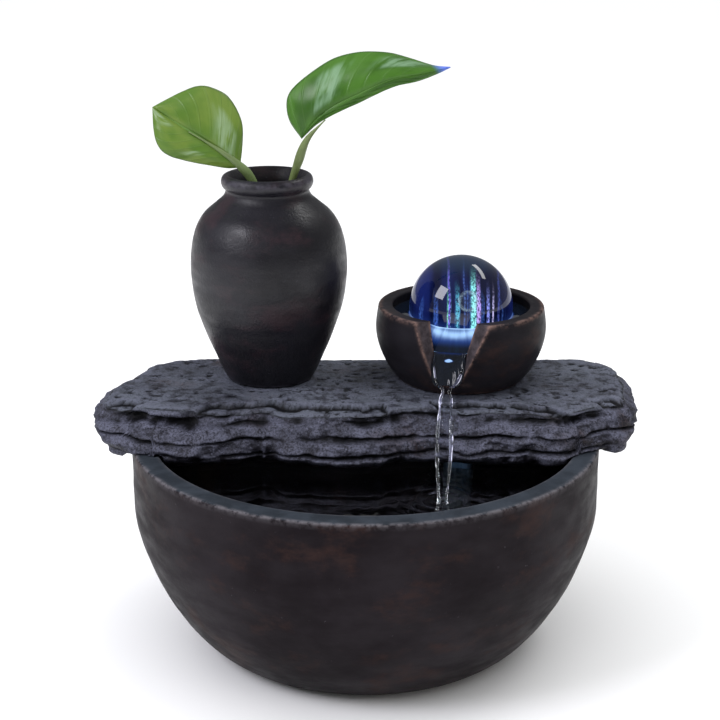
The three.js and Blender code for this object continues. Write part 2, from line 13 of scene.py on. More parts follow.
import bpy
import numpy as np
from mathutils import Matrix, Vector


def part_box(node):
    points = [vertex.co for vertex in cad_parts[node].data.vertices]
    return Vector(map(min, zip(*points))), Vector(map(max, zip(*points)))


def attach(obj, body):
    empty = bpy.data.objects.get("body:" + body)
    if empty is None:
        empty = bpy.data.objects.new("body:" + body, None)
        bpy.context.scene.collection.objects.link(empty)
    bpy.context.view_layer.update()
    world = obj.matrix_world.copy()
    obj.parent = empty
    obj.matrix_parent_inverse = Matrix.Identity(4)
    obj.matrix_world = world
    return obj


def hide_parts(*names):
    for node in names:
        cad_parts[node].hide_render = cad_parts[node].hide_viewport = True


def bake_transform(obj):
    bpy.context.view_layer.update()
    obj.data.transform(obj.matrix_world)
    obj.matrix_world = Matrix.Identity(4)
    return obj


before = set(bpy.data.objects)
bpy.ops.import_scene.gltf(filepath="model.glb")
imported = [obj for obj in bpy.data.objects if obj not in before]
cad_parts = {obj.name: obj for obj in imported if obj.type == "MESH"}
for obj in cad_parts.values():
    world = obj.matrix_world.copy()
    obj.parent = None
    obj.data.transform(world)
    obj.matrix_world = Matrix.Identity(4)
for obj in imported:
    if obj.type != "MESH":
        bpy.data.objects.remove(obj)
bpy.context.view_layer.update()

MM = 0.001
WELD = 1e-4  # in millimetres: points closer than this become one
LOG = logging.getLogger("fountain")


# ---- Numbers and noise ----------------------------------------------------------------------


def node_box(name: str) -> tuple[np.ndarray, np.ndarray]:
    """Gives a frame node's lowest and highest corners in millimetres.

    Args:
        name: the node's name in the frame.

    Returns:
        Two arrays of three numbers.
    """
    low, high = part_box(name)
    return np.array(low) / MM, np.array(high) / MM


def ease(value: np.ndarray, start: float, end: float) -> np.ndarray:
    """Rises smoothly from 0 at start to 1 at end, as 3t^2 - 2t^3.

    Args:
        value: numbers of any shape.
        start: where the rise begins.
        end: where it ends; it may lie below start.

    Returns:
        An array of the same shape, from 0 to 1.
    """
    t = np.clip((np.asarray(value, float) - start) / (end - start), 0, 1)
    return t * t * (3 - 2 * t)


def bump(value: np.ndarray, centre: float, width: float) -> np.ndarray:
    """A bell, exp(-((value - centre) / width)^2)."""
    return np.exp(-(((np.asarray(value, float) - centre) / width) ** 2))


def lattice_noise(points: np.ndarray, cell: object, seed: int) -> np.ndarray:
    """Smooth noise from -1 to 1.

    Each corner of a lattice of cells gets a fixed value from its whole-number place, and a point
    takes the eight corners round it, blended by 6t^5 - 15t^4 + 10t^3.

    Args:
        points: an array whose last axis is x, y, z.
        cell: the cell's size, one number or three.
        seed: a whole number that picks the pattern.

    Returns:
        An array with one value for each point.
    """
    scaled = np.asarray(points, float) / np.asarray(cell, float)
    base = np.floor(scaled).astype(np.int64)
    part = scaled - base
    part = part**3 * (part * (6 * part - 15) + 10)
    total = np.zeros(scaled.shape[:-1])
    for corner in product((0, 1), repeat=3):
        place = base + np.array(corner)
        key = place[..., 0] * 374761393 + place[..., 1] * 668265263 + place[..., 2] * 1442695041
        key = (key + seed * 974634777) & 0x7FFFFFFF
        key = ((key ^ (key >> 13)) * 1274126177) & 0x7FFFFFFF
        value = ((key ^ (key >> 16)) & 0xFFFF) / 32767.5 - 1
        weight = np.prod(np.where(np.array(corner) == 1, part, 1 - part), axis=-1)
        total += value * weight
    return total


def fractal(points: np.ndarray, cell: object, seed: int, octaves: int = 4) -> np.ndarray:
    """Sums lattice noise of halving cell and halving height.

    Args:
        points: an array whose last axis is x, y, z.
        cell: the first octave's cell, one number or three.
        seed: a whole number that picks the pattern.
        octaves: how many are summed.

    Returns:
        An array of values, mostly within -1 to 1.
    """
    size = np.asarray(cell, float)
    total = 0.0
    for octave in range(octaves):
        total = total + lattice_noise(points, size / 2**octave, seed + octave) / 2**octave
    return total / (2 - 2 ** (1 - octaves))


def blurred(value: np.ndarray, reach: int, passes: int) -> np.ndarray:
    """Averages a grid, whose columns wrap round, with its neighbours again and again.

    Args:
        value: the grid.
        reach: how many places each way are averaged.
        passes: how many times.

    Returns:
        A grid of the same shape.
    """
    window = range(-reach, reach + 1)
    rows = len(value)
    for _ in range(passes):
        padded = np.pad(value, ((reach, reach), (0, 0)), mode="edge")
        value = sum(padded[reach + k : reach + k + rows] for k in window) / len(window)
        value = sum(np.roll(value, k, axis=1) for k in window) / len(window)
    return value


def spline(points: object, count: int, closed: bool = False) -> np.ndarray:
    """Carries a Catmull-Rom curve through points and spaces its samples evenly along it.

    Args:
        points: the points it goes through, in any number of dimensions.
        count: how many samples to give.
        closed: whether the last point joins the first.

    Returns:
        An array of count points.
    """
    knots = np.asarray(points, float)
    if closed:
        padded = np.vstack([knots[-1], knots, knots[0], knots[1]])
    else:
        padded = np.vstack([2 * knots[0] - knots[1], knots, 2 * knots[-1] - knots[-2]])
    spans = len(padded) - 3
    t = np.linspace(0, 1, 40, endpoint=False)[None, :, None]
    a, b, c, d = (padded[i : i + spans][:, None, :] for i in range(4))
    fine = 0.5 * (2 * b + (c - a) * t + (2 * a - 5 * b + 4 * c - d) * t**2 + (3 * b - a - 3 * c + d) * t**3)
    fine = np.vstack([fine.reshape(-1, knots.shape[1]), padded[spans + 1]])
    run = np.concatenate([[0], np.cumsum(np.linalg.norm(np.diff(fine, axis=0), axis=1))])
    wanted = np.linspace(0, run[-1], count, endpoint=not closed)
    return np.stack([np.interp(wanted, run, fine[:, k]) for k in range(fine.shape[1])], axis=1)


# ---- Meshes ---------------------------------------------------------------------------------


def grid_faces(rows: int, columns: int, wrap: bool) -> np.ndarray:
    """Four-sided faces over a grid of points numbered row by row.

    Args:
        rows: points along the first axis.
        columns: points along the second axis.
        wrap: whether the last column joins the first.

    Returns:
        An array of faces, four point numbers each.
    """
    r = np.arange(rows - 1)[:, None]
    c = np.arange(columns if wrap else columns - 1)[None, :]
    after = (c + 1) % columns
    faces = [r * columns + c, r * columns + after, (r + 1) * columns + after, (r + 1) * columns + c]
    return np.stack([np.broadcast_to(f, (rows - 1, c.shape[1])) for f in faces], axis=-1).reshape(-1, 4)


def signed_volume(points: np.ndarray, faces: np.ndarray) -> float:
    """The volume that faces enclose, negative when they point inwards.

    Args:
        points: the corners.
        faces: four corner numbers for each face.

    Returns:
        The volume, in the cube of the points' unit.
    """
    a, b, c, d = (points[faces[:, k]] for k in range(4))
    return float((
        np.einsum("ij,ij->i", a, np.cross(b, c)) + np.einsum("ij,ij->i", a, np.cross(c, d))
    ).sum() / 6)


def make_mesh(
    name: str,
    grids: list[tuple[np.ndarray, bool]],
    marks: dict[str, list[np.ndarray]] | None = None,
    closed: bool = True,
    sharp: float | None = None,
) -> bpy.types.Object:
    """Makes one mesh of grids of points, with shared edges and poles merged.

    Args:
        name: the piece's name.
        grids: each grid of points in millimetres, and whether its columns wrap round.
        marks: named numbers for each point, grid by grid, kept as attributes for the finishes.
        closed: whether the grids make a closed body, which then gets its faces turned outwards.
        sharp: the angle in degrees past which an edge isn't smoothed over.

    Returns:
        The new object, at the origin.
    """
    points = np.vstack([g.reshape(-1, 3) for g, _ in grids])
    faces, start = [], 0
    for grid, wrap in grids:
        faces.append(grid_faces(grid.shape[0], grid.shape[1], wrap) + start)
        start += grid.shape[0] * grid.shape[1]
    corners = np.vstack(faces)
    _, first, place = np.unique(np.round(points / WELD).astype(np.int64), axis=0, return_index=True,
        return_inverse=True)
    place = place.reshape(-1)
    corners = place[corners]
    points = points[first]
    if closed and signed_volume(points, corners) < 0:
        corners = corners[:, ::-1]
    after = np.roll(corners, -1, axis=1)
    distinct = corners != after
    sizes = distinct.sum(axis=1)
    keep = (sizes >= 3) & (corners[:, 0] != corners[:, 2]) & (corners[:, 1] != corners[:, 3])
    corners, distinct, sizes = corners[keep], distinct[keep], sizes[keep]
    loops = corners[distinct]
    mesh = bpy.data.meshes.new(name)
    mesh.vertices.add(len(points))
    mesh.vertices.foreach_set("co", (points * MM).astype(np.float32).ravel())
    mesh.loops.add(len(loops))
    mesh.loops.foreach_set("vertex_index", loops.astype(np.int32))
    mesh.polygons.add(len(sizes))
    mesh.polygons.foreach_set("loop_start", np.concatenate([[0], np.cumsum(sizes)[:-1]]).astype(np.int32))
    mesh.update(calc_edges=True)
    mesh.validate()
    for mark, values in (marks or {}).items():
        joined = np.concatenate([np.asarray(v, float).reshape(-1) for v in values])[first]
        attribute = mesh.attributes.new(mark, "FLOAT", "POINT")
        attribute.data.foreach_set("value", joined.astype(np.float32))
    mesh.shade_smooth()
    if sharp is not None:
        mesh.set_sharp_from_angle(angle=math.radians(sharp))
    piece = bpy.data.objects.new(name, mesh)
    bpy.context.scene.collection.objects.link(piece)
    return piece


def revolve(profile: np.ndarray, angles: np.ndarray) -> np.ndarray:
    """Turns a profile of (radius, height) about +Z: x = r cos a, y = r sin a.

    Args:
        profile: one row for each point of the profile.
        angles: the angles in radians.

    Returns:
        A grid of points, profile by angle.
    """
    radius, height = profile[:, 0:1], profile[:, 1:2]
    x = radius * np.cos(angles)
    y = radius * np.sin(angles)
    return np.stack([x, y, np.broadcast_to(height, x.shape)], axis=-1)


def full_turn(count: int) -> np.ndarray:
    """Evenly spaced angles round a circle, without the repeated last one."""
    return np.linspace(0, 2 * np.pi, count, endpoint=False)


def line(start: object, end: object, count: int, last: bool = False) -> np.ndarray:
    """Evenly spaced points from start to end, by default without the last one."""
    return np.linspace(np.asarray(start, float), np.asarray(end, float), count, endpoint=last)


def arc(centre: object, radius: float, start: float, end: float, count: int) -> np.ndarray:
    """Points on an arc of a circle, centre + radius (cos a, sin a), angles in degrees."""
    turn = np.radians(np.linspace(start, end, count, endpoint=False))
    return np.asarray(centre, float) + radius * np.stack([np.cos(turn), np.sin(turn)], axis=1)


def sweep(path: np.ndarray, radii: np.ndarray, sides: int, flatness: float = 1.0) -> np.ndarray:
    """Carries a circle along a path, its ends closed to a point.

    The frame is carried along by taking the part of the last side vector that is square to the
    new direction, so the section doesn't twist.

    Args:
        path: the points of the centreline.
        radii: the radius at each point.
        sides: points round the section.
        flatness: the section's depth over its width.

    Returns:
        A grid of points, path by section.
    """
    along = np.gradient(path, axis=0)
    along /= np.linalg.norm(along, axis=1, keepdims=True)
    side = np.zeros_like(path)
    guide = np.array([1.0, 0.0, 0.0]) if abs(along[0, 0]) < 0.9 else np.array([0.0, 1.0, 0.0])
    for i, direction in enumerate(along):
        guide = guide - direction * (guide @ direction)
        guide = guide / np.linalg.norm(guide)
        side[i] = guide
    other = np.cross(along, side)
    turn = full_turn(sides)[None, :, None]
    ring = side[:, None, :] * np.cos(turn) + other[:, None, :] * np.sin(turn) * flatness
    grid = path[:, None, :] + ring * np.asarray(radii, float)[:, None, None]
    ends = [np.repeat(path[k][None, None, :], sides, axis=1) for k in (0, -1)]
    return np.concatenate([ends[0], grid, ends[1]], axis=0)


# ---- Finishes -------------------------------------------------------------------------------


class Nodes:
    """A small hand for building a node tree: each method adds a node and gives its output."""

    def __init__(self, name: str) -> None:
        """Starts a material with only a Principled shader and its output.

        Args:
            name: the material's name.
        """
        self.material = bpy.data.materials.new(name)
        self.material.use_nodes = True
        self.tree = self.material.node_tree
        self.tree.nodes.clear()
        self.shader = self.tree.nodes.new("ShaderNodeBsdfPrincipled")
        out = self.tree.nodes.new("ShaderNodeOutputMaterial")
        self.tree.links.new(self.shader.outputs[0], out.inputs[0])
        coordinates = self.tree.nodes.new("ShaderNodeTexCoord")
        self.place = coordinates.outputs["Object"]

    def set(self, **values: object) -> None:
        """Sets or links the shader's sockets, named with _ for a space."""
        for key, value in values.items():
            socket = self.shader.inputs[key.replace("_", " ")]
            self.fill(socket, value)

    def fill(self, socket: bpy.types.NodeSocket, value: object) -> None:
        """Links an output to a socket, or sets a number or colour on it.

        Args:
            socket: the input to fill.
            value: an output to link, or a number or colour to set.
        """
        if isinstance(value, bpy.types.NodeSocket):
            self.tree.links.new(value, socket)
        elif isinstance(value, (tuple, list)) and len(value) == 3 and socket.type == "RGBA":
            socket.default_value = (*value, 1.0)
        else:
            socket.default_value = value

    def stretch(self, scale: tuple[float, float, float],
        turn: tuple[float, float, float] = (0, 0, 0)) -> object:
        """Object coordinates, turned and scaled by a Mapping node.

        Args:
            scale: how much each axis is scaled.
            turn: how far it is turned about each axis, in radians.

        Returns:
            The mapped coordinates.
        """
        node = self.tree.nodes.new("ShaderNodeMapping")
        self.tree.links.new(self.place, node.inputs["Vector"])
        node.inputs["Scale"].default_value = scale
        node.inputs["Rotation"].default_value = turn
        return node.outputs[0]

    def noise(self, scale: float, detail: float = 3, rough: float = 0.55, vector: object = None,
        warp: float = 0) -> object:
        """Noise from 0 to 1, scale being cells to a metre.

        Args:
            scale: cells to a metre.
            detail: how many finer layers are added.
            rough: how strong each finer layer is.
            vector: what it is drawn on; the Object coordinates if left out.
            warp: how far the pattern is distorted.

        Returns:
            The noise.
        """
        node = self.tree.nodes.new("ShaderNodeTexNoise")
        self.fill(node.inputs["Vector"], vector or self.place)
        node.inputs["Scale"].default_value = scale
        node.inputs["Detail"].default_value = detail
        node.inputs["Roughness"].default_value = rough
        node.inputs["Distortion"].default_value = warp
        return node.outputs["Fac"]

    def cells(self, scale: float, feature: str = "F1", vector: object = None) -> object:
        """Distance in a Voronoi pattern.

        Args:
            scale: cells to a metre.
            feature: which distance the pattern gives.
            vector: what it is drawn on; the Object coordinates if left out.

        Returns:
            The distance.
        """
        node = self.tree.nodes.new("ShaderNodeTexVoronoi")
        node.feature = feature
        self.fill(node.inputs["Vector"], vector or self.place)
        node.inputs["Scale"].default_value = scale
        return node.outputs["Distance"]

    def window(self, value: object, low: float, high: float, start: float = 0, end: float = 1) -> object:
        """Maps low..high smoothly to start..end and clamps it.

        Args:
            value: what is mapped.
            low: the value that gives start.
            high: the value that gives end.
            start: the result at low.
            end: the result at high.

        Returns:
            The mapped value.
        """
        node = self.tree.nodes.new("ShaderNodeMapRange")
        node.interpolation_type = "SMOOTHSTEP"
        self.fill(node.inputs["Value"], value)
        for key, number in (("From Min", low), ("From Max", high), ("To Min", start), ("To Max", end)):
            node.inputs[key].default_value = number
        return node.outputs["Result"]

    def math(self, kind: str, a: object, b: object = 0.0) -> object:
        """One Math node.

        Args:
            kind: the node's operation.
            a: its first input.
            b: its second input.

        Returns:
            The result.
        """
        node = self.tree.nodes.new("ShaderNodeMath")
        node.operation = kind
        self.fill(node.inputs[0], a)
        self.fill(node.inputs[1], b)
        return node.outputs[0]

    def blend(self, factor: object, a: object, b: object) -> object:
        """Mixes two colours.

        Args:
            factor: 0 for a, 1 for b.
            a: the first colour.
            b: the second colour.

        Returns:
            The mixed colour.
        """
        node = self.tree.nodes.new("ShaderNodeMix")
        node.data_type = "RGBA"
        self.fill(node.inputs[0], factor)
        self.fill(node.inputs[6], a)
        self.fill(node.inputs[7], b)
        return node.outputs[2]

    def mark(self, name: str) -> object:
        """Reads one of a mesh's own numbers.

        Args:
            name: the attribute's name.

        Returns:
            Its value at each point.
        """
        node = self.tree.nodes.new("ShaderNodeAttribute")
        node.attribute_name = name
        return node.outputs["Fac"]

    def axis(self, letter: str) -> object:
        """One of the Object coordinates, in metres.

        Args:
            letter: X, Y or Z.

        Returns:
            That coordinate.
        """
        node = self.tree.nodes.new("ShaderNodeSeparateXYZ")
        self.fill(node.inputs[0], self.place)
        return node.outputs[letter]

    def joined(self, x: object, y: object, z: object) -> object:
        """A vector made of three numbers.

        Args:
            x: the first.
            y: the second.
            z: the third.

        Returns:
            The vector.
        """
        node = self.tree.nodes.new("ShaderNodeCombineXYZ")
        for socket, value in zip(node.inputs, (x, y, z)):
            self.fill(socket, value)
        return node.outputs[0]

    def relief(self, height: object, depth: float, strength: float = 1.0, under: object = None) -> object:
        """A Bump node whose height is depth metres tall.

        Args:
            height: the relief, from 0 to 1.
            depth: how tall 1 is, in metres.
            strength: how much of it is used.
            under: a normal that it is laid over.

        Returns:
            The bent normal.
        """
        node = self.tree.nodes.new("ShaderNodeBump")
        node.inputs["Distance"].default_value = depth
        node.inputs["Strength"].default_value = strength
        self.fill(node.inputs["Height"], height)
        if under is not None:
            self.fill(node.inputs["Normal"], under)
        return node.outputs[0]


@dataclass(frozen=True)
class RubbedResin:
    """Cast resin painted dark and rubbed back: brush streaks, warm rubbed patches, pale wear."""

    name: str
    dark: tuple[float, float, float]
    light: tuple[float, float, float]
    warm: tuple[float, float, float]
    worn: tuple[float, float, float]
    roughness: float = 0.42
    streaks: float = 0.3
    warmth: float = 0.5
    grain: float = 0.00007
    raw: tuple[float, float, float] | None = None
    flat: tuple[float, float, float] | None = None
    gloss: float = 0.05

    def make(self) -> bpy.types.Material:
        """Builds the material.

        Returns:
            It, with its colours mixed by noise and by the mesh's wear, cut and rim marks.
        """
        n = Nodes(self.name)
        banded = n.stretch((1, 1, 2.4))
        soft = n.noise(26, 4)
        streak = n.noise(60, 5, 0.62, banded)
        tone = n.math("ADD", n.math("MULTIPLY", soft, 1 - self.streaks),
            n.math("MULTIPLY", streak, self.streaks))
        color = n.blend(n.window(tone, 0.36, 0.68), self.dark, self.light)
        patch = n.window(n.noise(34, 6, 0.68, n.stretch((1, 1, 1.7))), 0.5, 0.68)
        color = n.blend(n.math("MULTIPLY", patch, self.warmth), color, self.warm)
        fleck_and_glint = n.math("MULTIPLY", n.window(n.noise(620, 3, 0.7), 0.66, 0.76),
            n.window(n.noise(80), 0.5, 0.64))
        color = n.blend(n.math("MULTIPLY", fleck_and_glint, 0.4), color, self.worn)
        if self.raw is not None:
            bare = n.blend(n.window(n.noise(210, 5, 0.7), 0.36, 0.66), tuple(c * 0.45 for c in self.raw),
                self.raw)
            color = n.blend(n.math("MULTIPLY", n.mark("cut"), 0.9), color, bare)
        # painted light: the flat top, marked rim, turns a lighter, bluer grey as if lit from above; the
        # noise in it is tone
        if self.flat is not None:
            top = n.blend(n.window(n.noise(90, 5, 0.65), 0.35, 0.65), tuple(c * 0.6 for c in self.flat),
                self.flat)
            color = n.blend(n.mark("rim"), color, top)
        broken = n.window(n.noise(300, 4, 0.7), 0.36, 0.6)
        wear = n.math("MULTIPLY", n.mark("wear"), broken)
        color = n.blend(n.math("MULTIPLY", wear, 0.85), color, self.worn)
        rough = n.window(n.noise(75, 5, 0.6, banded), 0.3, 0.7, self.roughness - 0.07,
            self.roughness + 0.12)
        fine = n.relief(n.noise(1000, 3, 0.6), self.grain * 0.5, 0.9)
        broad = n.relief(n.noise(190, 4, 0.62), self.grain, 0.8, fine)
        n.set(Base_Color=color, Roughness=rough, Normal=broad)
        n.shader.inputs["Specular IOR Level"].default_value = self.gloss
        return n.material


@dataclass(frozen=True)
class DryBrushedSlate:
    """Layered slate cast in resin: painted shade in its cracks and low on its sides, painted light on its
    top, and pale where a dry brush caught the ridges.
    """

    name: str = "slate"
    dark: tuple[float, float, float] = (0.006, 0.005, 0.009)
    base: tuple[float, float, float] = (0.0125, 0.0128, 0.02)
    pale: tuple[float, float, float] = (0.125, 0.13, 0.185)
    green: tuple[float, float, float] = (0.105, 0.116, 0.148)
    rust: tuple[float, float, float] = (0.06, 0.033, 0.028)

    def make(self) -> bpy.types.Material:
        """Builds the material.

        Returns:
            It, mixed by the mesh's ridge, crack and top marks.
        """
        n = Nodes(self.name)
        speckle = n.noise(1250, 4, 0.75)
        coarse = n.noise(210, 6, 0.7)
        # painted light: the top is a much lighter green-grey than the sides, as light from above falls on
        # it; the noise between two greys is tone
        mixed = tuple(0.55 * a + 0.45 * b for a, b in zip(self.base, self.green))
        flat = n.blend(n.window(n.noise(22, 4), 0.35, 0.62), mixed, self.green)
        color = n.blend(n.mark("top"), self.base, flat)
        color = n.blend(n.math("MULTIPLY", n.window(coarse, 0.54, 0.36), 0.8), color, self.dark)
        color = n.blend(n.math("MULTIPLY", n.window(speckle, 0.48, 0.36), 0.7), color, self.dark)
        # painted shade: the sides darken downwards from 93 mm to 80 mm up, where less light reaches
        color = n.blend(n.window(n.axis("Z"), 0.093, 0.08, 0, 0.6), color, self.dark)
        brush = n.math("MULTIPLY", n.mark("ridge"),
            n.window(n.math("ADD", speckle, n.math("MULTIPLY", coarse, 0.6)), 0.62, 0.95))
        color = n.blend(n.math("MULTIPLY", brush, 0.8), color, self.pale)
        dust = n.math("MULTIPLY", n.window(n.noise(1500, 2, 0.6), 0.56, 0.68), n.window(coarse, 0.42, 0.58))
        color = n.blend(n.math("MULTIPLY", dust, 0.7), color, self.pale)
        rust = n.math("MULTIPLY", n.window(n.noise(38, 4), 0.58, 0.7), n.window(speckle, 0.45, 0.6))
        color = n.blend(n.math("MULTIPLY", rust, 0.5), color, self.rust)
        # painted shade: near black in the cracks and in the top's hollows
        color = n.blend(n.mark("crack"), color, (0.0025, 0.0025, 0.004))
        rough = n.window(coarse, 0.3, 0.7, 0.5, 0.8)
        pits = n.relief(n.window(n.cells(560), 0.0, 0.28), 0.00018, 0.7)
        grain = n.relief(n.noise(460, 6, 0.7), 0.0007, 0.85, pits)
        n.set(Base_Color=color, Roughness=rough, Normal=grain)
        n.shader.inputs["Specular IOR Level"].default_value = 0.3
        return n.material


@dataclass(frozen=True)
class Moulded:
    """Moulded plastic, rubber or metal: a fine grain and a soft unevenness of tone."""

    name: str
    color: tuple[float, float, float]
    roughness: float = 0.45
    metal: float = 0.0
    grain: float = 0.00004
    clear: float = 0.0
    glow: float = 0.0

    def make(self) -> bpy.types.Material:
        """Builds the material.

        Returns:
            It, with an even clear share or glow set on the shader itself.
        """
        n = Nodes(self.name)
        soft = n.noise(120, 3)
        shade = tuple(c * 0.78 for c in self.color)
        color = n.blend(n.window(soft, 0.3, 0.7), shade, self.color)
        rough = n.window(n.noise(300, 3), 0.3, 0.7, max(self.roughness - 0.06, 0.02), self.roughness + 0.08)
        n.set(Base_Color=color, Roughness=rough, Normal=n.relief(n.noise(1500, 2), self.grain))
        n.shader.inputs["Metallic"].default_value = self.metal
        n.shader.inputs["Transmission Weight"].default_value = self.clear
        if self.glow:
            n.shader.inputs["Emission Color"].default_value = (0.35, 0.6, 1.0, 1.0)
            n.shader.inputs["Emission Strength"].default_value = self.glow
        return n.material


@dataclass(frozen=True)
class LitBallGlass:
    """Deep blue solid glass with painted light from the LED below: it glows all over, brightest in upright
    threads of bubbles.
    """

    name: str = "ball_glass"
    light_ring_place: tuple[float, float] = (0.0014, 0.0071)
    light_ring_radius: float = 0.0036
    threads: tuple[tuple[float, float, float, tuple[float, float, float], float], ...] = (
        (-0.0106, 0.0012, 0.029, (0.1, 0.25, 1.0), 0.5),
        (-0.0058, 0.0011, 0.031, (0.2, 0.8, 0.35), 0.9),
        (-0.0056, 0.0007, 0.0385, (0.25, 0.2, 1.0), 0.7),
        (-0.0026, 0.0014, 0.032, (0.12, 0.55, 0.75), 0.8),
        (0.0002, 0.0005, 0.038, (0.15, 0.3, 0.9), 0.45),
        (0.0038, 0.0019, 0.036, (0.3, 0.95, 0.95), 1.0),
        (0.0056, 0.0012, 0.034, (0.55, 0.4, 1.0), 0.95),
        (0.0092, 0.0009, 0.031, (0.3, 0.35, 1.0), 0.85),
        (0.0112, 0.0006, 0.03, (0.65, 0.6, 1.0), 0.8),
        (0.0134, 0.0006, 0.035, (0.15, 0.2, 0.9), 0.4),
    )

    def make(self) -> bpy.types.Material:
        """Builds the material.

        Each thread of painted glow stands at its own place across the ball, with its width, the height that
        it climbs to, its colour and its strength, and beads break it up. Fainter ones between them
        are noise drawn out along Z. A pale ring of painted light, broken by bubbly noise, stands in the
        front of the glass, where the ball gathers the light. The base colour is painted light too.

        Returns:
            It, dark and glossy, glowing all over by painted light that is brightest in the threads.
        """
        n = Nodes(self.name)
        ball_low, ball_high = (corner * MM for corner in node_box("glass_ball"))
        low, high = ball_low[2], ball_high[2]
        middle = (ball_low + ball_high) / 2
        sway = n.math("MULTIPLY", n.math("SUBTRACT", n.noise(90, 2, 0.5, n.stretch((1, 1, 0.25))), 0.5),
            0.0016)
        side = n.math("ADD", n.math("SUBTRACT", n.axis("X"), middle[0]), sway)
        beads = n.window(n.noise(1500, 3, 0.75, n.stretch((1, 1, 0.45))), 0.36, 0.6, 0.12, 1)
        shine: object = 0.0
        tint: object = (0.1, 0.25, 0.9)
        # painted light: each thread glows by emission up to the height it climbs to
        for place, width, climb, color, strength in self.threads:
            near = n.window(n.math("ABSOLUTE", n.math("SUBTRACT", side, place)), width, width * 0.3)
            reach = n.window(n.axis("Z"), low + climb + 0.003, low + climb - 0.006)
            thread = n.math("MULTIPLY", n.math("MULTIPLY", near, reach), strength)
            tint = n.blend(near, tint, color)
            shine = n.math("MAXIMUM", shine, thread)
        wide = n.stretch((1, 0.16, 0.02))
        deepwise = n.stretch((0.16, 1, 0.02))
        climb = n.window(n.noise(230, 1, 0.5, wide), 0.3, 0.7, low + 0.02, high + 0.002)
        lift = n.window(n.math("SUBTRACT", n.axis("Z"), climb), 0.001, -0.009)
        away_x = n.math("ABSOLUTE", side)
        front = n.math("MULTIPLY", n.window(n.noise(420, 2, 0.6, wide), 0.55, 0.66),
            n.window(away_x, 0.0165, 0.014))
        ends = n.math("MULTIPLY", n.window(n.noise(420, 2, 0.6, deepwise), 0.54, 0.66),
            n.window(away_x, 0.0125, 0.0155))
        faint = n.math("MULTIPLY", n.math("MULTIPLY", n.math("MAXIMUM", front, ends), lift), 0.4)
        shine = n.math("MULTIPLY", n.math("MAXIMUM", shine, faint), beads)
        # painted light in the base colour: a brighter blue towards the bottom, nearest the LED, and a
        # greyer blue near the top
        low_glow = n.window(n.axis("Z"), low + 0.021, low + 0.015, 0, 0.14)
        dim = n.window(n.noise(150, 2, 0.5, wide), 0.36, 0.64)
        deep = n.blend(dim, (0.0012, 0.002, 0.014), (0.005, 0.01, 0.07))
        deep = n.blend(n.window(n.axis("Z"), high - 0.006, high), deep, (0.008, 0.016, 0.035))
        deep = n.blend(low_glow, deep, (0.05, 0.14, 0.6))
        # painted light: a pale ring in the front of the ball, drawn as emission
        across = n.math("SUBTRACT", n.axis("X"), middle[0] + self.light_ring_place[0])
        above = n.math("SUBTRACT", n.axis("Z"), middle[2] + self.light_ring_place[1])
        away = n.math("SQRT", n.math("ADD", n.math("MULTIPLY", across, across),
            n.math("MULTIPLY", above, above)))
        front = n.window(n.axis("Y"), middle[1] - 0.001, middle[1] - 0.004)
        radius = self.light_ring_radius
        ring = n.math("MULTIPLY", n.window(away, radius * 0.6, radius * 0.92, 0.12, 1),
            n.window(away, radius * 1.12, radius * 0.96))
        lens = n.math("MULTIPLY", n.math("MULTIPLY", ring, front),
            n.window(n.noise(1100, 3, 0.7), 0.34, 0.6, 0.25, 1))
        glow = n.blend(shine, deep, tint)
        glow = n.blend(n.math("MULTIPLY", lens, 0.8), glow, (0.3, 0.42, 0.52))
        n.set(Base_Color=deep, Emission_Color=glow)
        bright = n.math("MAXIMUM", shine, n.math("MULTIPLY", lens, 0.3))
        # painted light: the whole ball glows, the threads and the ring most
        n.set(Emission_Strength=n.window(bright, 0, 1, 0.6, 1.35))
        n.shader.inputs["Roughness"].default_value = 0.05
        n.shader.inputs["IOR"].default_value = 1.5
        return n.material


@dataclass(frozen=True)
class Water:
    """Clear water; a mesh's own glow mark says where painted light from under the ball fills it, as
    emission.

    The index is the refractive one. Where it is set below water's 1.333, the surface mirrors less
    of what stands round it, and shows more of what lies under it.
    """

    name: str
    tint: tuple[float, float, float] = (0.9, 0.95, 1.0)
    roughness: float = 0.01
    glow: float = 0.0
    far: tuple[float, float, float] = (0.03, 0.1, 0.5)
    near: tuple[float, float, float] = (0.38, 0.62, 1.0)
    clear: float = 1.0
    gloss: float = 0.5
    ripple: float = 0.3
    index: float = 1.333

    def make(self) -> bpy.types.Material:
        """Builds the material.

        Returns:
            It, clear by transmission, with painted light where the glow mark asks for it.
        """
        n = Nodes(self.name)
        ripple = n.relief(n.noise(110, 2), 0.0003, self.ripple)
        n.set(Base_Color=self.tint, Normal=ripple)
        n.shader.inputs["Roughness"].default_value = self.roughness
        n.shader.inputs["IOR"].default_value = self.index
        n.shader.inputs["Transmission Weight"].default_value = self.clear
        n.shader.inputs["Specular IOR Level"].default_value = self.gloss
        if self.glow:
            light = n.mark("glow")
            n.set(Emission_Color=n.blend(n.window(light, 0.2, 0.95), self.far, self.near))
            n.set(Emission_Strength=n.math("MULTIPLY", light, self.glow))
        return n.material


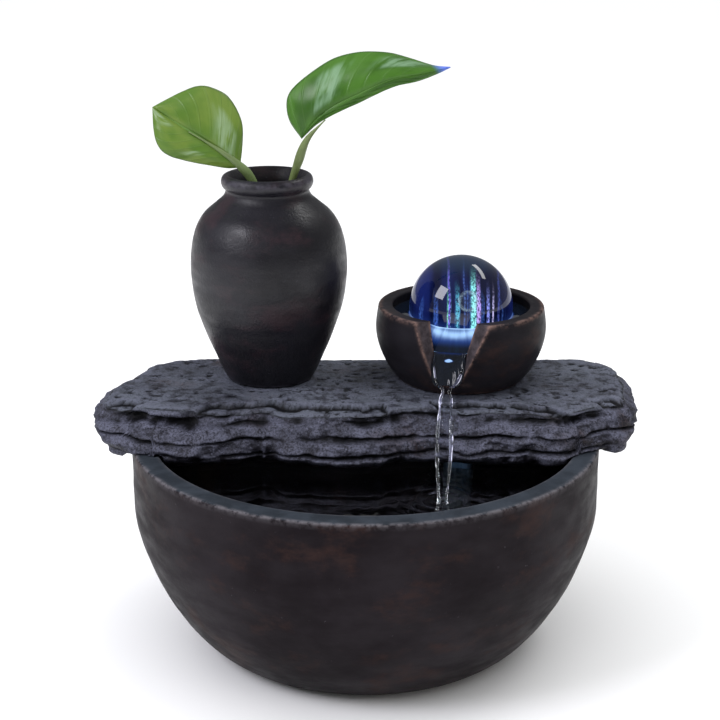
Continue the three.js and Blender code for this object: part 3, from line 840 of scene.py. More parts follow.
@dataclass(frozen=True)
class WaxyLeaf:
    """A glossy leaf: paler veins, streaks of painted silver sheen along them, a thin dark margin."""

    name: str
    face: tuple[float, float, float]
    deep: tuple[float, float, float]
    sheen: tuple[float, float, float] = (0.2, 0.33, 0.16)
    tip: tuple[float, float, float] | None = None
    offset: float = 0.0
    zones: tuple[tuple[float, float, float, float], ...] = ()

    def make(self) -> bpy.types.Material:
        """Builds the material.

        Returns:
            It, drawn by the blade's own marks: along, across and margin.
        """
        n = Nodes(self.name)
        along, across = n.mark("along"), n.mark("across")
        side = n.math("ABSOLUTE", across)
        slant = n.math("SUBTRACT", along, n.math("MULTIPLY", side, 0.3))
        wave = n.math("SINE", n.math("MULTIPLY", slant, 58.0))
        vein = n.math("MULTIPLY", n.window(wave, 0.84, 1.0), n.window(side, 0.03, 0.2))
        drawn = n.noise(1.0, 3, 0.55, n.joined(n.math("MULTIPLY", slant, 16.0),
            n.math("MULTIPLY", across, 1.5), self.offset))
        broad = n.noise(1.0, 2, 0.5, n.joined(n.math("MULTIPLY", along, 3.2),
            n.math("MULTIPLY", across, 1.6), self.offset + 7))
        color = n.blend(n.window(broad, 0.36, 0.62), self.deep, self.face)
        color = n.blend(n.math("MULTIPLY", n.window(drawn, 0.3, 0.5, 1, 0), 0.3), color, self.deep)
        color = n.blend(n.math("MULTIPLY", vein, 0.1), color, (0.13, 0.25, 0.07))
        # painted sheen: pale streaks in the given zones stand in for reflections on the blade
        zone = 0.0
        for middle, width, start, stop in self.zones:
            here = n.window(n.math("ABSOLUTE", n.math("SUBTRACT", slant, middle)), width, width * 0.35)
            here = n.math("MULTIPLY", here, n.window(across, start, start + 0.14))
            here = n.math("MULTIPLY", here, n.window(across, stop, stop - 0.14))
            zone = n.math("MAXIMUM", zone, here)
        patch = n.math("MULTIPLY", n.window(drawn, 0.34, 0.6), zone)
        color = n.blend(n.math("MULTIPLY", patch, 0.75), color, self.sheen)
        rib = n.window(side, 0.05, 0.015)
        color = n.blend(n.math("MULTIPLY", rib, 0.5), color, (0.15, 0.3, 0.08))
        color = n.blend(n.math("MULTIPLY", n.window(side, 0.94, 1.0), 0.6), color, (0.03, 0.07, 0.02))
        # painted light: a blue cast laid on the tip
        if self.tip is not None:
            color = n.blend(n.window(along, 0.9, 0.97), color, self.tip)
        height = n.math("SUBTRACT", n.math("MULTIPLY", vein, 0.6), rib)
        n.set(Base_Color=color, Normal=n.relief(height, 0.0003, 0.5))
        n.set(Roughness=n.window(drawn, 0.3, 0.7, 0.28, 0.42))
        n.shader.inputs["Specular IOR Level"].default_value = 0.3
        return n.material


def dress(piece: bpy.types.Object, material: bpy.types.Material) -> None:
    """Gives a piece one material in place of any that it had.

    Args:
        piece: the object.
        material: its new material.
    """
    piece.data.materials.clear()
    piece.data.materials.append(material)


def settle(piece: bpy.types.Object, body: str, slot: str, *stands_for: str) -> bpy.types.Object:
    """Says what a finished piece rides on and which nodes it replaces.

    Args:
        piece: the object.
        body: the frame's body that it moves with.
        slot: not used.
        stands_for: the nodes that it stands for.

    Returns:
        The same piece.
    """
    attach(piece, body)
    if stands_for:
        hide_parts(*stands_for)
    LOG.info("%s rides on %s with %d faces", piece.name, body, len(piece.data.polygons))
    return piece


# ---- The basin ------------------------------------------------------------------------------


@dataclass
class Basin:
    """The round basin and the water in it."""

    foot: float = 55.0
    waist: float = 56.0
    rim_wall: float = 8.5
    wall: float = 6.0
    floor: float = 6.0
    notch_half: float = 4.5
    notch_depth: float = 8.0
    columns: int = 384
    water_below_rim: float = 7.2
    splash: tuple[float, float] = (27.2, -50.0)
    base: float = field(init=False)
    height: float = field(init=False)
    radius: float = field(init=False)

    def __post_init__(self) -> None:
        """Takes the basin's height and radius from the frame."""
        low, high = node_box("basin")
        self.base, self.height = low[2], high[2]
        self.radius = high[0]

    def outer(self, z: np.ndarray) -> np.ndarray:
        """Outer radius at a height.

        It is r0 + (R - r0)(1 - (1 - z/w)^1.43)^(1/1.62) up to the waist w, and R above it.
        """
        share = np.clip(np.asarray(z, float) / self.waist, 0, 1)
        return self.foot + (self.radius - self.foot) * (1 - (1 - share) ** 1.43) ** (1 / 1.62)

    def inner(self, z: np.ndarray) -> np.ndarray:
        """Inner radius at a height: the outer one less a wall that thickens towards the rim.

        Args:
            z: heights in millimetres.

        Returns:
            The radius at each.
        """
        inside = self.base + self.floor
        lift = np.clip((np.asarray(z, float) - inside) / (self.height - inside), 0, 1)
        return self.outer(z) - self.wall - (self.rim_wall - self.wall) * lift

    def profile(self) -> np.ndarray:
        """The basin's section from the middle of its underside round to the middle of its floor.

        Returns:
            The section, as radius and height in each row.
        """
        inside = self.base + self.floor
        rise = self.base + 1.5 + (self.waist - self.base - 1.5) * np.linspace(0, 1, 60) ** 1.3
        fall = inside + 1.8 + (self.waist - inside - 1.8) * np.linspace(1, 0, 44) ** 1.3
        corner = 1.1
        top = self.height - corner
        mouth = self.radius - self.rim_wall
        return np.vstack([
            line((0, self.base), (self.foot - 16, self.base), 6),
            line((self.foot - 16, self.base), (self.foot - 2.2, self.base), 14),
            arc((self.foot - 2.2, self.base + 2.2), 2.2, -90, -30, 4),
            np.stack([self.outer(rise), rise], axis=1),
            line((self.radius, self.waist + 1.5), (self.radius, top), 14),
            arc((self.radius - corner, top), corner, 0, 90, 7),
            line((self.radius - corner, self.height), (mouth + corner, self.height), 8),
            arc((mouth + corner, top), corner, 90, 180, 7),
            line((mouth, top), (mouth, self.waist + 1.5), 14),
            np.stack([self.inner(fall), fall], axis=1),
            arc((self.inner(fall)[-1] - 3.5, inside + 3.5), 3.5, -25, -90, 5),
            line((self.inner(fall)[-1] - 3.6, inside), (0, inside), 9, True),
        ])

    def build(self) -> None:
        """Builds the basin's body."""
        profile = self.profile()
        grid = revolve(profile, full_turn(self.columns))
        x, y, z = grid[..., 0], grid[..., 1], grid[..., 2]
        start = self.height - self.notch_depth - 6
        share = np.clip(np.abs(x) / self.notch_half, 0, 1)
        dip = np.where(y > 0, self.notch_depth * np.sqrt(1 - share**3), 0)
        z += np.where(z > start, -(z - start) / (self.height - start) * dip, 0)
        outside = np.arange(len(profile)) < 98
        waves = 0.16 * fractal(grid * [1, 1, 4], 26, 3, 3) + 0.1 * lattice_noise(grid, (200, 200, 5), 9)
        radius = np.hypot(x, y)
        swell = 1 + np.where(radius > 1, waves / np.maximum(radius, 1), 0)
        x *= swell
        y *= swell
        edge = bump(np.hypot(radius - self.radius + 0.4, z - self.height + 0.35), 0, 0.75)
        lip = bump(np.hypot(radius - self.radius + self.rim_wall - 0.4, z - self.height), 0, 0.7)
        foot = bump(np.hypot(radius - self.foot, z - self.base - 1), 0, 2.0)
        wear = np.clip(0.8 * edge + 0.4 * lip + 0.3 * foot * outside[:, None], 0, 1)
        # the rim mark: the flat top, which the finish paints with light from above
        flat = ease(z, self.height - 0.5, self.height - 0.1)
        piece = make_mesh("basin_body", [(grid, True)], {"wear": [wear], "rim": [flat]})
        dress(piece, self.finish())
        settle(piece, "basin_body", "basin_resin", "basin")

    def finish(self) -> bpy.types.Material:
        """Rubbed charcoal resin whose flat rim carries painted light: a lighter, greyer blue-green, as if
        lit from above.

        Returns:
            The material.
        """
        return RubbedResin(
            "basin_resin", (0.0085, 0.0062, 0.0078), (0.019, 0.0155, 0.0185), (0.042, 0.021, 0.017),
            (0.16, 0.15, 0.165), 0.46, 0.3, 0.5, flat=(0.034, 0.041, 0.052),
        ).make()

    def water(self) -> None:
        """Builds the water's surface.

        Its height is a sum of rings round the splash, A cos(kr) exp(-r/L), a faint swell and one
        short crest.
        """
        level = self.height - self.water_below_rim
        reach = float(self.inner(np.array(level))) - 0.15
        radii = np.linspace(0, 1, 110)[:, None]
        angles = full_turn(256)[None, :]
        centre = np.array(self.splash)
        direction = np.stack([np.cos(angles), np.sin(angles)], axis=-1)
        along = np.einsum("...k,k->...", direction, centre)
        wall = -along + np.sqrt(along**2 - centre @ centre + reach**2)
        spot = centre + direction * (radii**1.5 * wall)[..., None]
        away = np.hypot(*(spot - centre).transpose(2, 0, 1))
        rings = 0.06 * np.cos(away * 1.25) * np.exp(-away / 15)
        swell = 0.05 * lattice_noise(np.dstack([spot, np.zeros(away.shape)]), 17, 4)
        crest = 0.5 * bump(np.hypot(spot[..., 0] - 48, (spot[..., 1] + 21) * 2.4), 0, 3.4)
        height = level + rings + swell + crest
        piece = make_mesh("basin_water", [(np.dstack([spot, height]), True)], closed=False)
        dress(piece, Water("pool_water", (0.6, 0.66, 0.7), gloss=0.09, ripple=0.05, index=1.07).make())
        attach(piece, "basin_body")
        LOG.info("basin_water rides on basin_body")


# ---- The slab -------------------------------------------------------------------------------


@dataclass
class Slab:
    """The rock-look slab: layers of slate with ledges, cracks and chipped edges."""

    around: int = 640
    layers: tuple[tuple[float, float, float], ...] = (
        (-9.0, 0.0, 0.0), (2.5, -2.7, 0.2), (5.3, 1.1, -0.1), (9.7, 0.3, 0.75), (14.6, -0.4, 0.1),
    )
    rim_inner: float = 79.7
    rim_outer: float = 89.4
    feet: tuple[tuple[str, float], ...] = (("vase", 17.2), ("ball_cup", 24.6))
    chip: float = -32.0
    top: float = field(init=False)
    bottom: float = field(init=False)
    rim: float = field(init=False)
    half: float = field(init=False)
    outline: tuple[tuple[float, float], ...] = (
        (99.8, 16), (99.6, 28), (98, 34), (93.5, 39), (84, 43.6), (60, 43.2), (35, 44), (5, 43.2),
        (-25, 44), (-59, 43.4), (-75, 41.7), (-81, 38.4), (-86.6, 33.3), (-89.6, 24), (-95.3, 13.5),
        (-98.2, 4), (-98.4, -7), (-94, -13.4), (-80, -16.5), (-61, -19.6), (-50, -18.6), (-43, -17),
        (-39, -15.8), (-34, -16.8), (-28, -19.4), (-13, -21), (5, -20), (20, -17.5), (38, -18),
        (60, -20.4), (70, -23), (78, -19), (86, -14), (94, -11.5), (98.6, -7), (99.4, 3),
    )

    def __post_init__(self) -> None:
        """Takes the slab's heights and reach from the frame."""
        low, high = node_box("rock_slab")
        self.top, self.bottom, self.half = high[2], low[2], high[0]
        self.rim = node_box("basin")[1][2]

    def underside(self, x: np.ndarray, y: np.ndarray) -> np.ndarray:
        """The lowest that the slab may reach: its belly, its seat on the rim, its outer ends.

        Args:
            x: places across, in millimetres.
            y: places in depth, in millimetres.

        Returns:
            The lowest height at each place.
        """
        radius = np.hypot(x, y)
        seat = self.rim + 0.35
        belly = self.bottom + 0.5
        inside = belly + (seat - belly) * ease(radius, self.rim_inner - 1.8, self.rim_inner)
        outside = seat + (self.rim - 1.7 - seat) * ease(radius, self.rim_outer, self.rim_outer + 1.2)
        return np.where(radius < self.rim_outer, inside, outside)

    def facing(self, outline: np.ndarray) -> tuple[np.ndarray, np.ndarray, np.ndarray, np.ndarray]:
        """Gives the outline's outward normals, and how far each faces the front, an end or the rear.

        Args:
            outline: the points of the outline, in order.

        Returns:
            The normals, then the shares that face the front, an end and the rear.
        """
        tangent = np.roll(outline, -3, axis=0) - np.roll(outline, 3, axis=0)
        normal = np.stack([tangent[:, 1], -tangent[:, 0]], axis=1)
        normal /= np.linalg.norm(normal, axis=1, keepdims=True)
        if np.einsum("ij,ij->", normal, outline - outline.mean(axis=0)) < 0:
            normal = -normal
        for _ in range(10):
            normal = (np.roll(normal, 1, axis=0) + normal + np.roll(normal, -1, axis=0)) / 3
        normal /= np.linalg.norm(normal, axis=1, keepdims=True)
        front = np.clip(-normal[:, 1], 0, 1) ** 2
        rear = np.clip(normal[:, 1], 0, 1) ** 2
        return normal, front, normal[:, 0] ** 2, rear

    def side(
        self, outline: np.ndarray, drop: np.ndarray, rows: int,
    ) -> tuple[np.ndarray, np.ndarray, np.ndarray]:
        """Works out the broken side, row by row from the top edge down.

        Outward reach is an overall swell, plus each layer's own offset along the edge between its
        upper and lower bounding surfaces, which are warped by noise, less a groove along the
        bounds that stand open, plus broken roughness. Ridges and cracks are where the reach is
        more or less than its average nearby.

        Args:
            outline: the top edge's points.
            drop: how far the edge lies under the slab's top.
            rows: rows down the side.

        Returns:
            The grid of points, and its ridge and crack marks.
        """
        normal, front, end, rear = self.facing(outline)
        flat = np.column_stack([outline, np.zeros(len(outline))])
        depth = self.top - np.minimum(self.underside(*outline.T), self.rim) + 1.3 * fractal(flat, 24, 61, 4)
        down = drop[None, :] + np.linspace(0, 1, rows)[:, None] * (depth - drop)[None, :]
        point = np.dstack([np.broadcast_to(outline[None], (*down.shape, 2)), -down])
        level = (down + 2.0 * fractal(flat, (36, 36, 1), 11, 3)[None, :]
            + 1.9 * fractal(point, (13, 13, 6), 13, 4))
        reach = front * (9.5 * ease(down, 1, 15) - 8.5 * ease(down, 16, 21.7))
        reach = reach + end * (4.2 * ease(down, 0, 6) - 13.5 * ease(down, 9, 17.5))
        reach = reach + rear * (0.8 * ease(down, 0, 5) - 4.5 * ease(down, 8, 17))
        share = front + 0.6 * end + 0.35 * rear
        open_cracks = np.zeros_like(down)
        stops = [*(start for start, _, _ in self.layers[1:]), 40.0]
        for index, ((start, offset, openness), stop) in enumerate(zip(self.layers, stops)):
            inside = ease(level, start - 0.3, start + 0.5) * (1 - ease(level, stop - 0.3, stop + 0.5))
            own = offset * (0.65 + 0.9 * fractal(flat, (33, 33, 1), 301 + 5 * index, 2))
            reach = reach + inside * (own + 3.6 * fractal(flat, (24, 24, 1), 21 + 5 * index, 4)) * share
            wide = np.clip(openness + 1.5 * fractal(flat, (21, 21, 1), 211 + 5 * index, 3), 0, 1)
            open_cracks = np.maximum(open_cracks, bump(level, start, 0.5) * wide)
        reach = reach - 2.8 * open_cracks * share
        broken = 1.7 * fractal(point, (9.5, 9.5, 4.6), 41, 5) - 1.3 * np.abs(
            lattice_noise(point, (6.5, 6.5, 4.0), 45))
        broken = broken + 0.5 * fractal(point, (2.1, 2.1, 1.5), 47, 2)
        reach = reach + broken * ease(down - drop, 0, 1.4)
        reach = reach - 0.8 * bump(down - drop, 0, 0.8)
        proud = reach - blurred(reach, 5, 2)
        # painted light: ledges that face up join the pale ridge mark, beside the dry brush on raised parts
        shelf = ease(np.gradient(blurred(reach, 1, 1), axis=0) / np.gradient(down, axis=0), 0.1, 1.1)
        ridge = np.clip(0.75 * ease(proud, 0.0, 0.8) + 0.6 * shelf * (1 - ease(down, 12, 20)), 0, 1)
        crack = np.clip(0.9 * open_cracks + ease(proud, -0.5, -1.4), 0, 1)
        spot = outline[None] + normal[None] * reach[..., None]
        spot[..., 0] = np.clip(spot[..., 0], -self.half - 1.5, self.half + 1.5)
        return np.dstack([spot, self.top - down]), ridge, crack

    def build(self) -> None:
        """Builds the slab as a top, a side and an underside that share their edges."""
        outline = spline(self.outline, self.around, closed=True)
        flat = np.column_stack([outline, np.zeros(len(outline))])
        normal, front, _, _ = self.facing(outline)
        outline = outline + normal * (1.3 * fractal(flat, 12, 71, 4))[:, None]
        broken_back = np.clip(fractal(flat, (19, 19, 1), 95, 3) + 0.1, 0, 1) * ease(front, 0.1, 0.5)
        chipped = bump(outline[:, 0], self.chip, 6.5) * ease(front, 0.1, 0.5)
        broken_back = np.maximum(broken_back, 0.5 * chipped)
        drop = 0.8 + 1.9 * ease(broken_back, 0.05, 0.22) + 1.3 * chipped
        side, ridge, crack = self.side(outline, drop, 66)
        spine = self.spine()
        reach = np.linspace(0, 1, 56)[:, None, None] ** 0.8
        spot = spine[None] + (side[0, :, :2] - spine)[None] * reach
        height = self.top_height(spot, side[0, :, :2], drop, 34 * broken_back)
        upper = np.dstack([spot, self.top + height])
        upper[-1] = side[0]
        side[..., 2] = np.maximum(side[..., 2], self.underside(side[..., 0], side[..., 1]))
        inward = np.linspace(0, 1, 16)[:, None, None]
        spot = side[-1, :, :2][None] * (1 - inward) + spine[None] * inward
        floor = self.underside(spot[..., 0], spot[..., 1])
        under = np.dstack([spot, floor + 0.25 * (1 + fractal(np.dstack([spot, floor]), 9, 83, 3))])
        under[0] = side[-1]
        proud = height - blurred(height, 3, 3)
        top_ridge = np.maximum(0.5 * ease(proud, 0.0, 0.2), self.foot_rings(upper))
        zero = np.zeros(under.shape[:2])
        marks = {
            "ridge": [top_ridge, ridge, zero + 0.1],
            # painted shade: the crack mark
            "crack": [ease(proud, -0.14, -0.4), crack, zero],
            # painted light from above: the top mark covers the whole top and the upper 3 mm of the sides
            "top": [np.ones(upper.shape[:2]), ease(side[..., 2], self.top - 3, self.top), zero],
        }
        piece = make_mesh("slab_rock", [(upper, True), (side, True), (under, True)], marks)
        dress(piece, DryBrushedSlate().make())
        settle(piece, "top", "slab_resin", "rock_slab")

    def spine(self) -> np.ndarray:
        """The line along the slab's middle where the spokes of the front and the rear meet.

        Returns:
            One point in plan for each spoke.
        """
        place = np.arange(self.around)
        share = np.minimum(place, self.around - place) / (self.around / 2)
        return np.stack([66 - 132 * share, np.full(self.around, 12.0)], axis=1)

    def away_from(self, name: str, spot: np.ndarray) -> np.ndarray:
        """Distance in plan from a standing piece's middle.

        Args:
            name: the piece's node.
            spot: places on the slab.

        Returns:
            The distance at each place.
        """
        low, high = node_box(name)
        offset = spot[..., :2] - (low + high)[:2] / 2
        return np.hypot(offset[..., 0], offset[..., 1])

    def foot_rings(self, upper: np.ndarray) -> np.ndarray:
        """The pale line left round each standing foot."""
        rings = [bump(self.away_from(name, upper), foot + 0.9, 0.7) for name, foot in self.feet]
        return 0.75 * np.maximum(*rings)

    def top_height(self, spot: np.ndarray, edge: np.ndarray, drop: np.ndarray,
        back: np.ndarray) -> np.ndarray:
        """The top's height over the flat: shallow flakes, pits, and its front layer broken back.

        The first layer is missing nearer to the edge than back, so the top is lower there by the
        drop, with a torn line between. It is level under both feet.

        Args:
            spot: the grid of points in plan.
            edge: the edge's points.
            drop: how far the edge lies under the slab's top.
            back: how far in the first layer is missing.

        Returns:
            The height at each point.
        """
        point = np.dstack([spot, np.zeros(spot.shape[:2])])
        inset = np.hypot(*(edge[None] - spot).transpose(2, 0, 1))
        flakes = 0.9 * np.clip(fractal(point, (26, 13, 1), 73, 5), -1, 0.0)
        pits = -0.6 * ease(fractal(point, (3.6, 2.4, 1), 79, 3), 0.28, 0.5)
        fine = 0.2 * fractal(point, (2.2, 1.6, 1), 89, 2) - 0.14 * np.abs(
            lattice_noise(point, (6.5, 4.0, 1), 93))
        torn = inset - np.minimum(back, 7.0) + 1.6 * fractal(point, (5, 5, 1), 99, 3)
        missing = (1 - ease(torn, -0.25, 0.45)) * ease(back, 0.3, 2.0)
        height = flakes + pits + fine - (drop - 0.8)[None, :] * missing
        height = height - 0.8 * (1 - ease(inset, 0.0, 1.6))
        for name, foot in self.feet:
            height = height * ease(self.away_from(name, spot), foot - 1, foot + 3)
        return np.minimum(height, 0.1)


# ---- The vase and the sprigs ----------------------------------------------------------------


@dataclass
class Vase:
    """The shouldered vase with a rolled lip."""

    wall: float = 3.6
    foot: float = 17.2
    neck: float = 15.9
    lip: float = 17.5
    belly: float = 30.0
    columns: int = 168

    def build(self) -> None:
        """Builds the vase round its own axis and moves its mesh into place."""
        low, high = node_box("vase")
        centre = (low + high)[:2] / 2
        tall = high[2] - low[2]
        foot, belly, neck, lip = self.foot, self.belly, self.neck, self.lip
        body = spline([
            (foot - 0.6, 0.15), (foot, 1.2), (foot + 2.3, 6), (foot + 0.6 * (belly - foot), 0.24 * tall),
            (foot + 0.86 * (belly - foot), 0.37 * tall), (belly, 0.52 * tall), (belly - 0.3, 0.63 * tall),
            (belly - 2.3, 0.74 * tall), (belly - 5.6, 0.81 * tall), (neck + 4, 0.86 * tall),
            (neck + 0.9, 0.895 * tall), (neck, 0.925 * tall), (lip - 0.5, 0.943 * tall),
            (lip, 0.966 * tall), (lip - 0.6, 0.99 * tall), (lip - 2.2, tall), (neck - 1.3, 0.992 * tall),
            (neck - self.wall * 0.8, 0.96 * tall), (neck - self.wall, 0.92 * tall),
        ], 150)
        inside = spline([
            (neck - self.wall, 0.915 * tall), (neck - self.wall + 1, 0.885 * tall),
            (belly - 5.6 - self.wall, 0.8 * tall), (belly - self.wall, 0.6 * tall),
            (foot + 0.8 * (belly - foot) - self.wall, 0.34 * tall), (foot - self.wall + 2, 7),
                (foot - self.wall - 1, 4.6),
        ], 50)
        profile = np.vstack([line((0, 0), (foot - 0.8, 0), 5), body, inside,
            line((foot - self.wall - 2, 4.2), (0, 4.2), 5, True)])
        grid = revolve(profile, full_turn(self.columns))
        radius = np.hypot(grid[..., 0], grid[..., 1])
        dents = 0.22 * fractal(grid, 24, 103, 3) + 0.09 * lattice_noise(grid, (90, 90, 3.4), 107)
        swell = 1 + np.where(radius > 1, dents / np.maximum(radius, 1), 0)
        grid[..., :2] *= swell[..., None]
        height = grid[..., 2]
        wear = bump(np.hypot(radius - lip + 0.8, height - 0.978 * tall), 0, 1.2) * 0.4
        wear += bump(height, 0.3, 0.5) * 0.5
        grid += np.array([*centre, low[2]])
        piece = make_mesh("vase_body", [(grid, True)], {"wear": [wear]})
        dress(piece, RubbedResin(
            "vase_resin", (0.0042, 0.0036, 0.0058), (0.0095, 0.0088, 0.0135), (0.034, 0.016, 0.021),
            (0.14, 0.13, 0.17), 0.4, 0.2, 0.55, 0.00022, gloss=0.4,
        ).make())
        settle(piece, "top", "vase_resin", "vase")


@dataclass
class Blade:
    """One leaf blade as a surface: rib is its midline, and the edges leave it on both sides.

    A point is rib(u) for v = 0, left(u) for v = -1 and right(u) for v = 1. Between them it follows
    rib + |v| (edge - rib), plus that half's crown of 4 |v| (1 - |v|) towards the front.
    """

    name: str
    body: str
    rib: list[tuple[float, float, float]]
    left: list[tuple[float, float, float]]
    right: list[tuple[float, float, float]]
    finish: WaxyLeaf
    crowns: tuple[float, float] = (2.2, 2.2)
    thickness: float = 0.42

    def build(self) -> None:
        """Builds the blade with an even thickness."""
        rows, half = 100, 28
        rib, left, right = (spline(points, rows) for points in (self.rib, self.left, self.right))
        v = np.linspace(-1, 1, 2 * half + 1)
        share = np.abs(v)[None, :, None]
        edge = np.where((v < 0)[None, :, None], left[:, None, :], right[:, None, :])
        grid = rib[:, None, :] + share * (edge - rib[:, None, :])
        u = np.linspace(0, 1, rows)[:, None]
        crown = np.where(v < 0, *self.crowns)[None, :]
        lift = (crown * share[..., 0] * (1 - share[..., 0]) * 4
            * np.sin(np.pi * np.clip(u, 0.02, 0.98)) ** 0.6)
        ripple = 0.5 * np.sin(u * 17 + 3 * np.sign(v)) * share[..., 0] ** 2 * np.sin(np.pi * u)
        ribbed = (0.06 * np.sin((u - 0.3 * share[..., 0]) * 58)
            * ease(share[..., 0], 0.03, 0.3) * np.sin(np.pi * u))
        gutter = -0.35 * bump(v, 0, 0.06) * np.sin(np.pi * np.clip(u, 0.05, 0.95))
        grid[..., 1] -= lift + ripple + ribbed + gutter
        marks = {"along": [np.broadcast_to(u, (rows, len(v)))],
            "across": [np.broadcast_to(v, (rows, len(v)))]}
        piece = make_mesh(f"{self.name}_leaf", [(grid, False)], marks, closed=False)
        solid = piece.modifiers.new("thickness", "SOLIDIFY")
        solid.thickness = self.thickness * MM
        solid.offset = 0
        dress(piece, self.finish.make())
        settle(piece, self.body, "leaf_green", f"{self.name}_blade")


@dataclass
class Sprigs:
    """Two cut sprigs that stand in the vase."""

    stem_radius: float = 1.45

    def stem(
        self, name: str, points: list[tuple[float, float, float]], green: tuple[float, float, float],
        taper: float, sheath: float,
    ) -> None:
        """Builds one stem, which runs on along its blade's midrib and tapers away there.

        Args:
            name: the sprig's name, which is also its body's.
            points: the points its middle goes through.
            green: its colour.
            taper: the share of its length at which it begins to taper.
            sheath: the share at which it is swollen by the leaf's sheath.
        """
        path = spline(points, 90)
        share = np.linspace(0, 1, 90)
        radii = (self.stem_radius * (1 - 0.1 * share + 0.3 * bump(share, sheath, 0.05))
            * (1 - 0.82 * ease(share, taper, 1)))
        grid = sweep(path, radii, 20)
        piece = make_mesh(f"{name}_stalk", [(grid, True)])
        dress(piece, Moulded(f"{name}_green", green, 0.42, grain=0.00012).make())
        settle(piece, name, "stem_green", f"{name}_stem")

    def build(self) -> None:
        """Builds both stems and both blades."""
        low, high = node_box("vase")
        y = (low + high)[1] / 2
        foot = node_box("sprig_left_stem")[0][2]
        self.stem("sprig_left", [
            (-41.1, y, foot + 1), (-41.1, y, 150), (-40.5, y, 163), (-41.2, y - 0.4, 171),
                (-43.8, y - 1.1, 176.6),
            (-47.2, y - 1.8, 180.6), (-52, y - 3, 184.8), (-59, y - 3.2, 189.6), (-66, y - 2.4, 193.6),
        ], (0.17, 0.24, 0.085), 0.72, 0.72)
        self.stem("sprig_right", [
            (-31.6, y, foot + 3), (-31.6, y, 152), (-30.6, y, 164), (-27.5, y - 0.5, 175.5),
                (-25.3, y - 1, 182),
            (-23.2, y - 1.6, 188), (-20.6, y - 2.8, 192.4), (-15, y - 4.6, 198.4),
        ], (0.15, 0.2, 0.065), 0.84, 0.8)
        base, tip = (-47.4, y - 1.4, 180), (-79.6, y + 2, 202)
        Blade(
            "sprig_left", "sprig_left",
            rib=[base, (-52.1, y - 2.4, 184.6), (-58.8, y - 2.4, 189.4), (-65.6, y - 1.6, 193.5),
                (-71.5, y - 0.6, 197.1), tip],
            left=[base, (-52.4, y - 1.9, 179.9), (-59, y - 3, 181.3), (-67.6, y - 3.8, 183),
                (-73.8, y - 4, 185.2),
                  (-77.4, y - 3.4, 188.6), (-79, y - 2, 193.8), tip],
            right=[base, (-46.6, y + 1.5, 186.8), (-46.4, y + 4, 194.4), (-48.2, y + 5.5, 200),
                (-52.3, y + 6.5, 205.7),
                   (-58.4, y + 6.5, 208.9), (-63, y + 6, 209.3), (-68.5, y + 5, 207.4),
                       (-74.6, y + 3, 204.6), tip],
            finish=WaxyLeaf(
                "leaf_left", (0.14, 0.22, 0.035), (0.085, 0.17, 0.022), sheen=(0.27, 0.38, 0.22),
                zones=((0.16, 0.2, 0.04, 0.8), (0.8, 0.16, -0.85, -0.1), (0.25, 0.07, -0.8, -0.4)),
            ),
        ).build()
        base, tip = (-23.9, y - 1.4, 191), (31.2, y - 0.5, 217.2)
        Blade(
            "sprig_right", "sprig_right",
            rib=[base, (-18.6, y - 3.6, 198.2), (-10.8, y - 5, 203.8), (-2.2, y - 5.4, 208),
                (6.4, y - 5.4, 212),
                 (12, y - 4.9, 213.7), (19.2, y - 3.8, 214.8), (26, y - 2, 216.2), tip],
            left=[base, (-28, y + 0.8, 196.4), (-29.4, y + 1.6, 201.4), (-28.9, y + 2.4, 206.2),
                (-25.8, y + 3, 210.3),
                  (-18.9, y + 3.4, 215.6), (-11.3, y + 3.4, 220), (-2, y + 3.2, 222.3),
                      (8.2, y + 2.8, 222.1),
                  (16.7, y + 2, 220), (25.2, y + 0.8, 217.6), tip],
            right=[base, (-18, y - 2.6, 196.6), (-10.2, y - 3.6, 201.2), (-1.8, y - 4, 205),
                (6.8, y - 4, 209.2),
                   (12, y - 3.6, 211.1), (19.4, y - 2.6, 212.5), (26.2, y - 1.4, 214.9), tip],
            finish=WaxyLeaf(
                "leaf_right", (0.06, 0.165, 0.018), (0.03, 0.095, 0.008), sheen=(0.2, 0.34, 0.2),
                # the tip's blue is painted light
                tip=(0.12, 0.2, 0.7), offset=3.0,
                    zones=((0.2, 0.12, -0.9, -0.12), (0.56, 0.16, -0.92, -0.4)),
            ),
            crowns=(2.6, 0.4),
        ).build()


# ---- The cup, the ball and its light --------------------------------------------------------


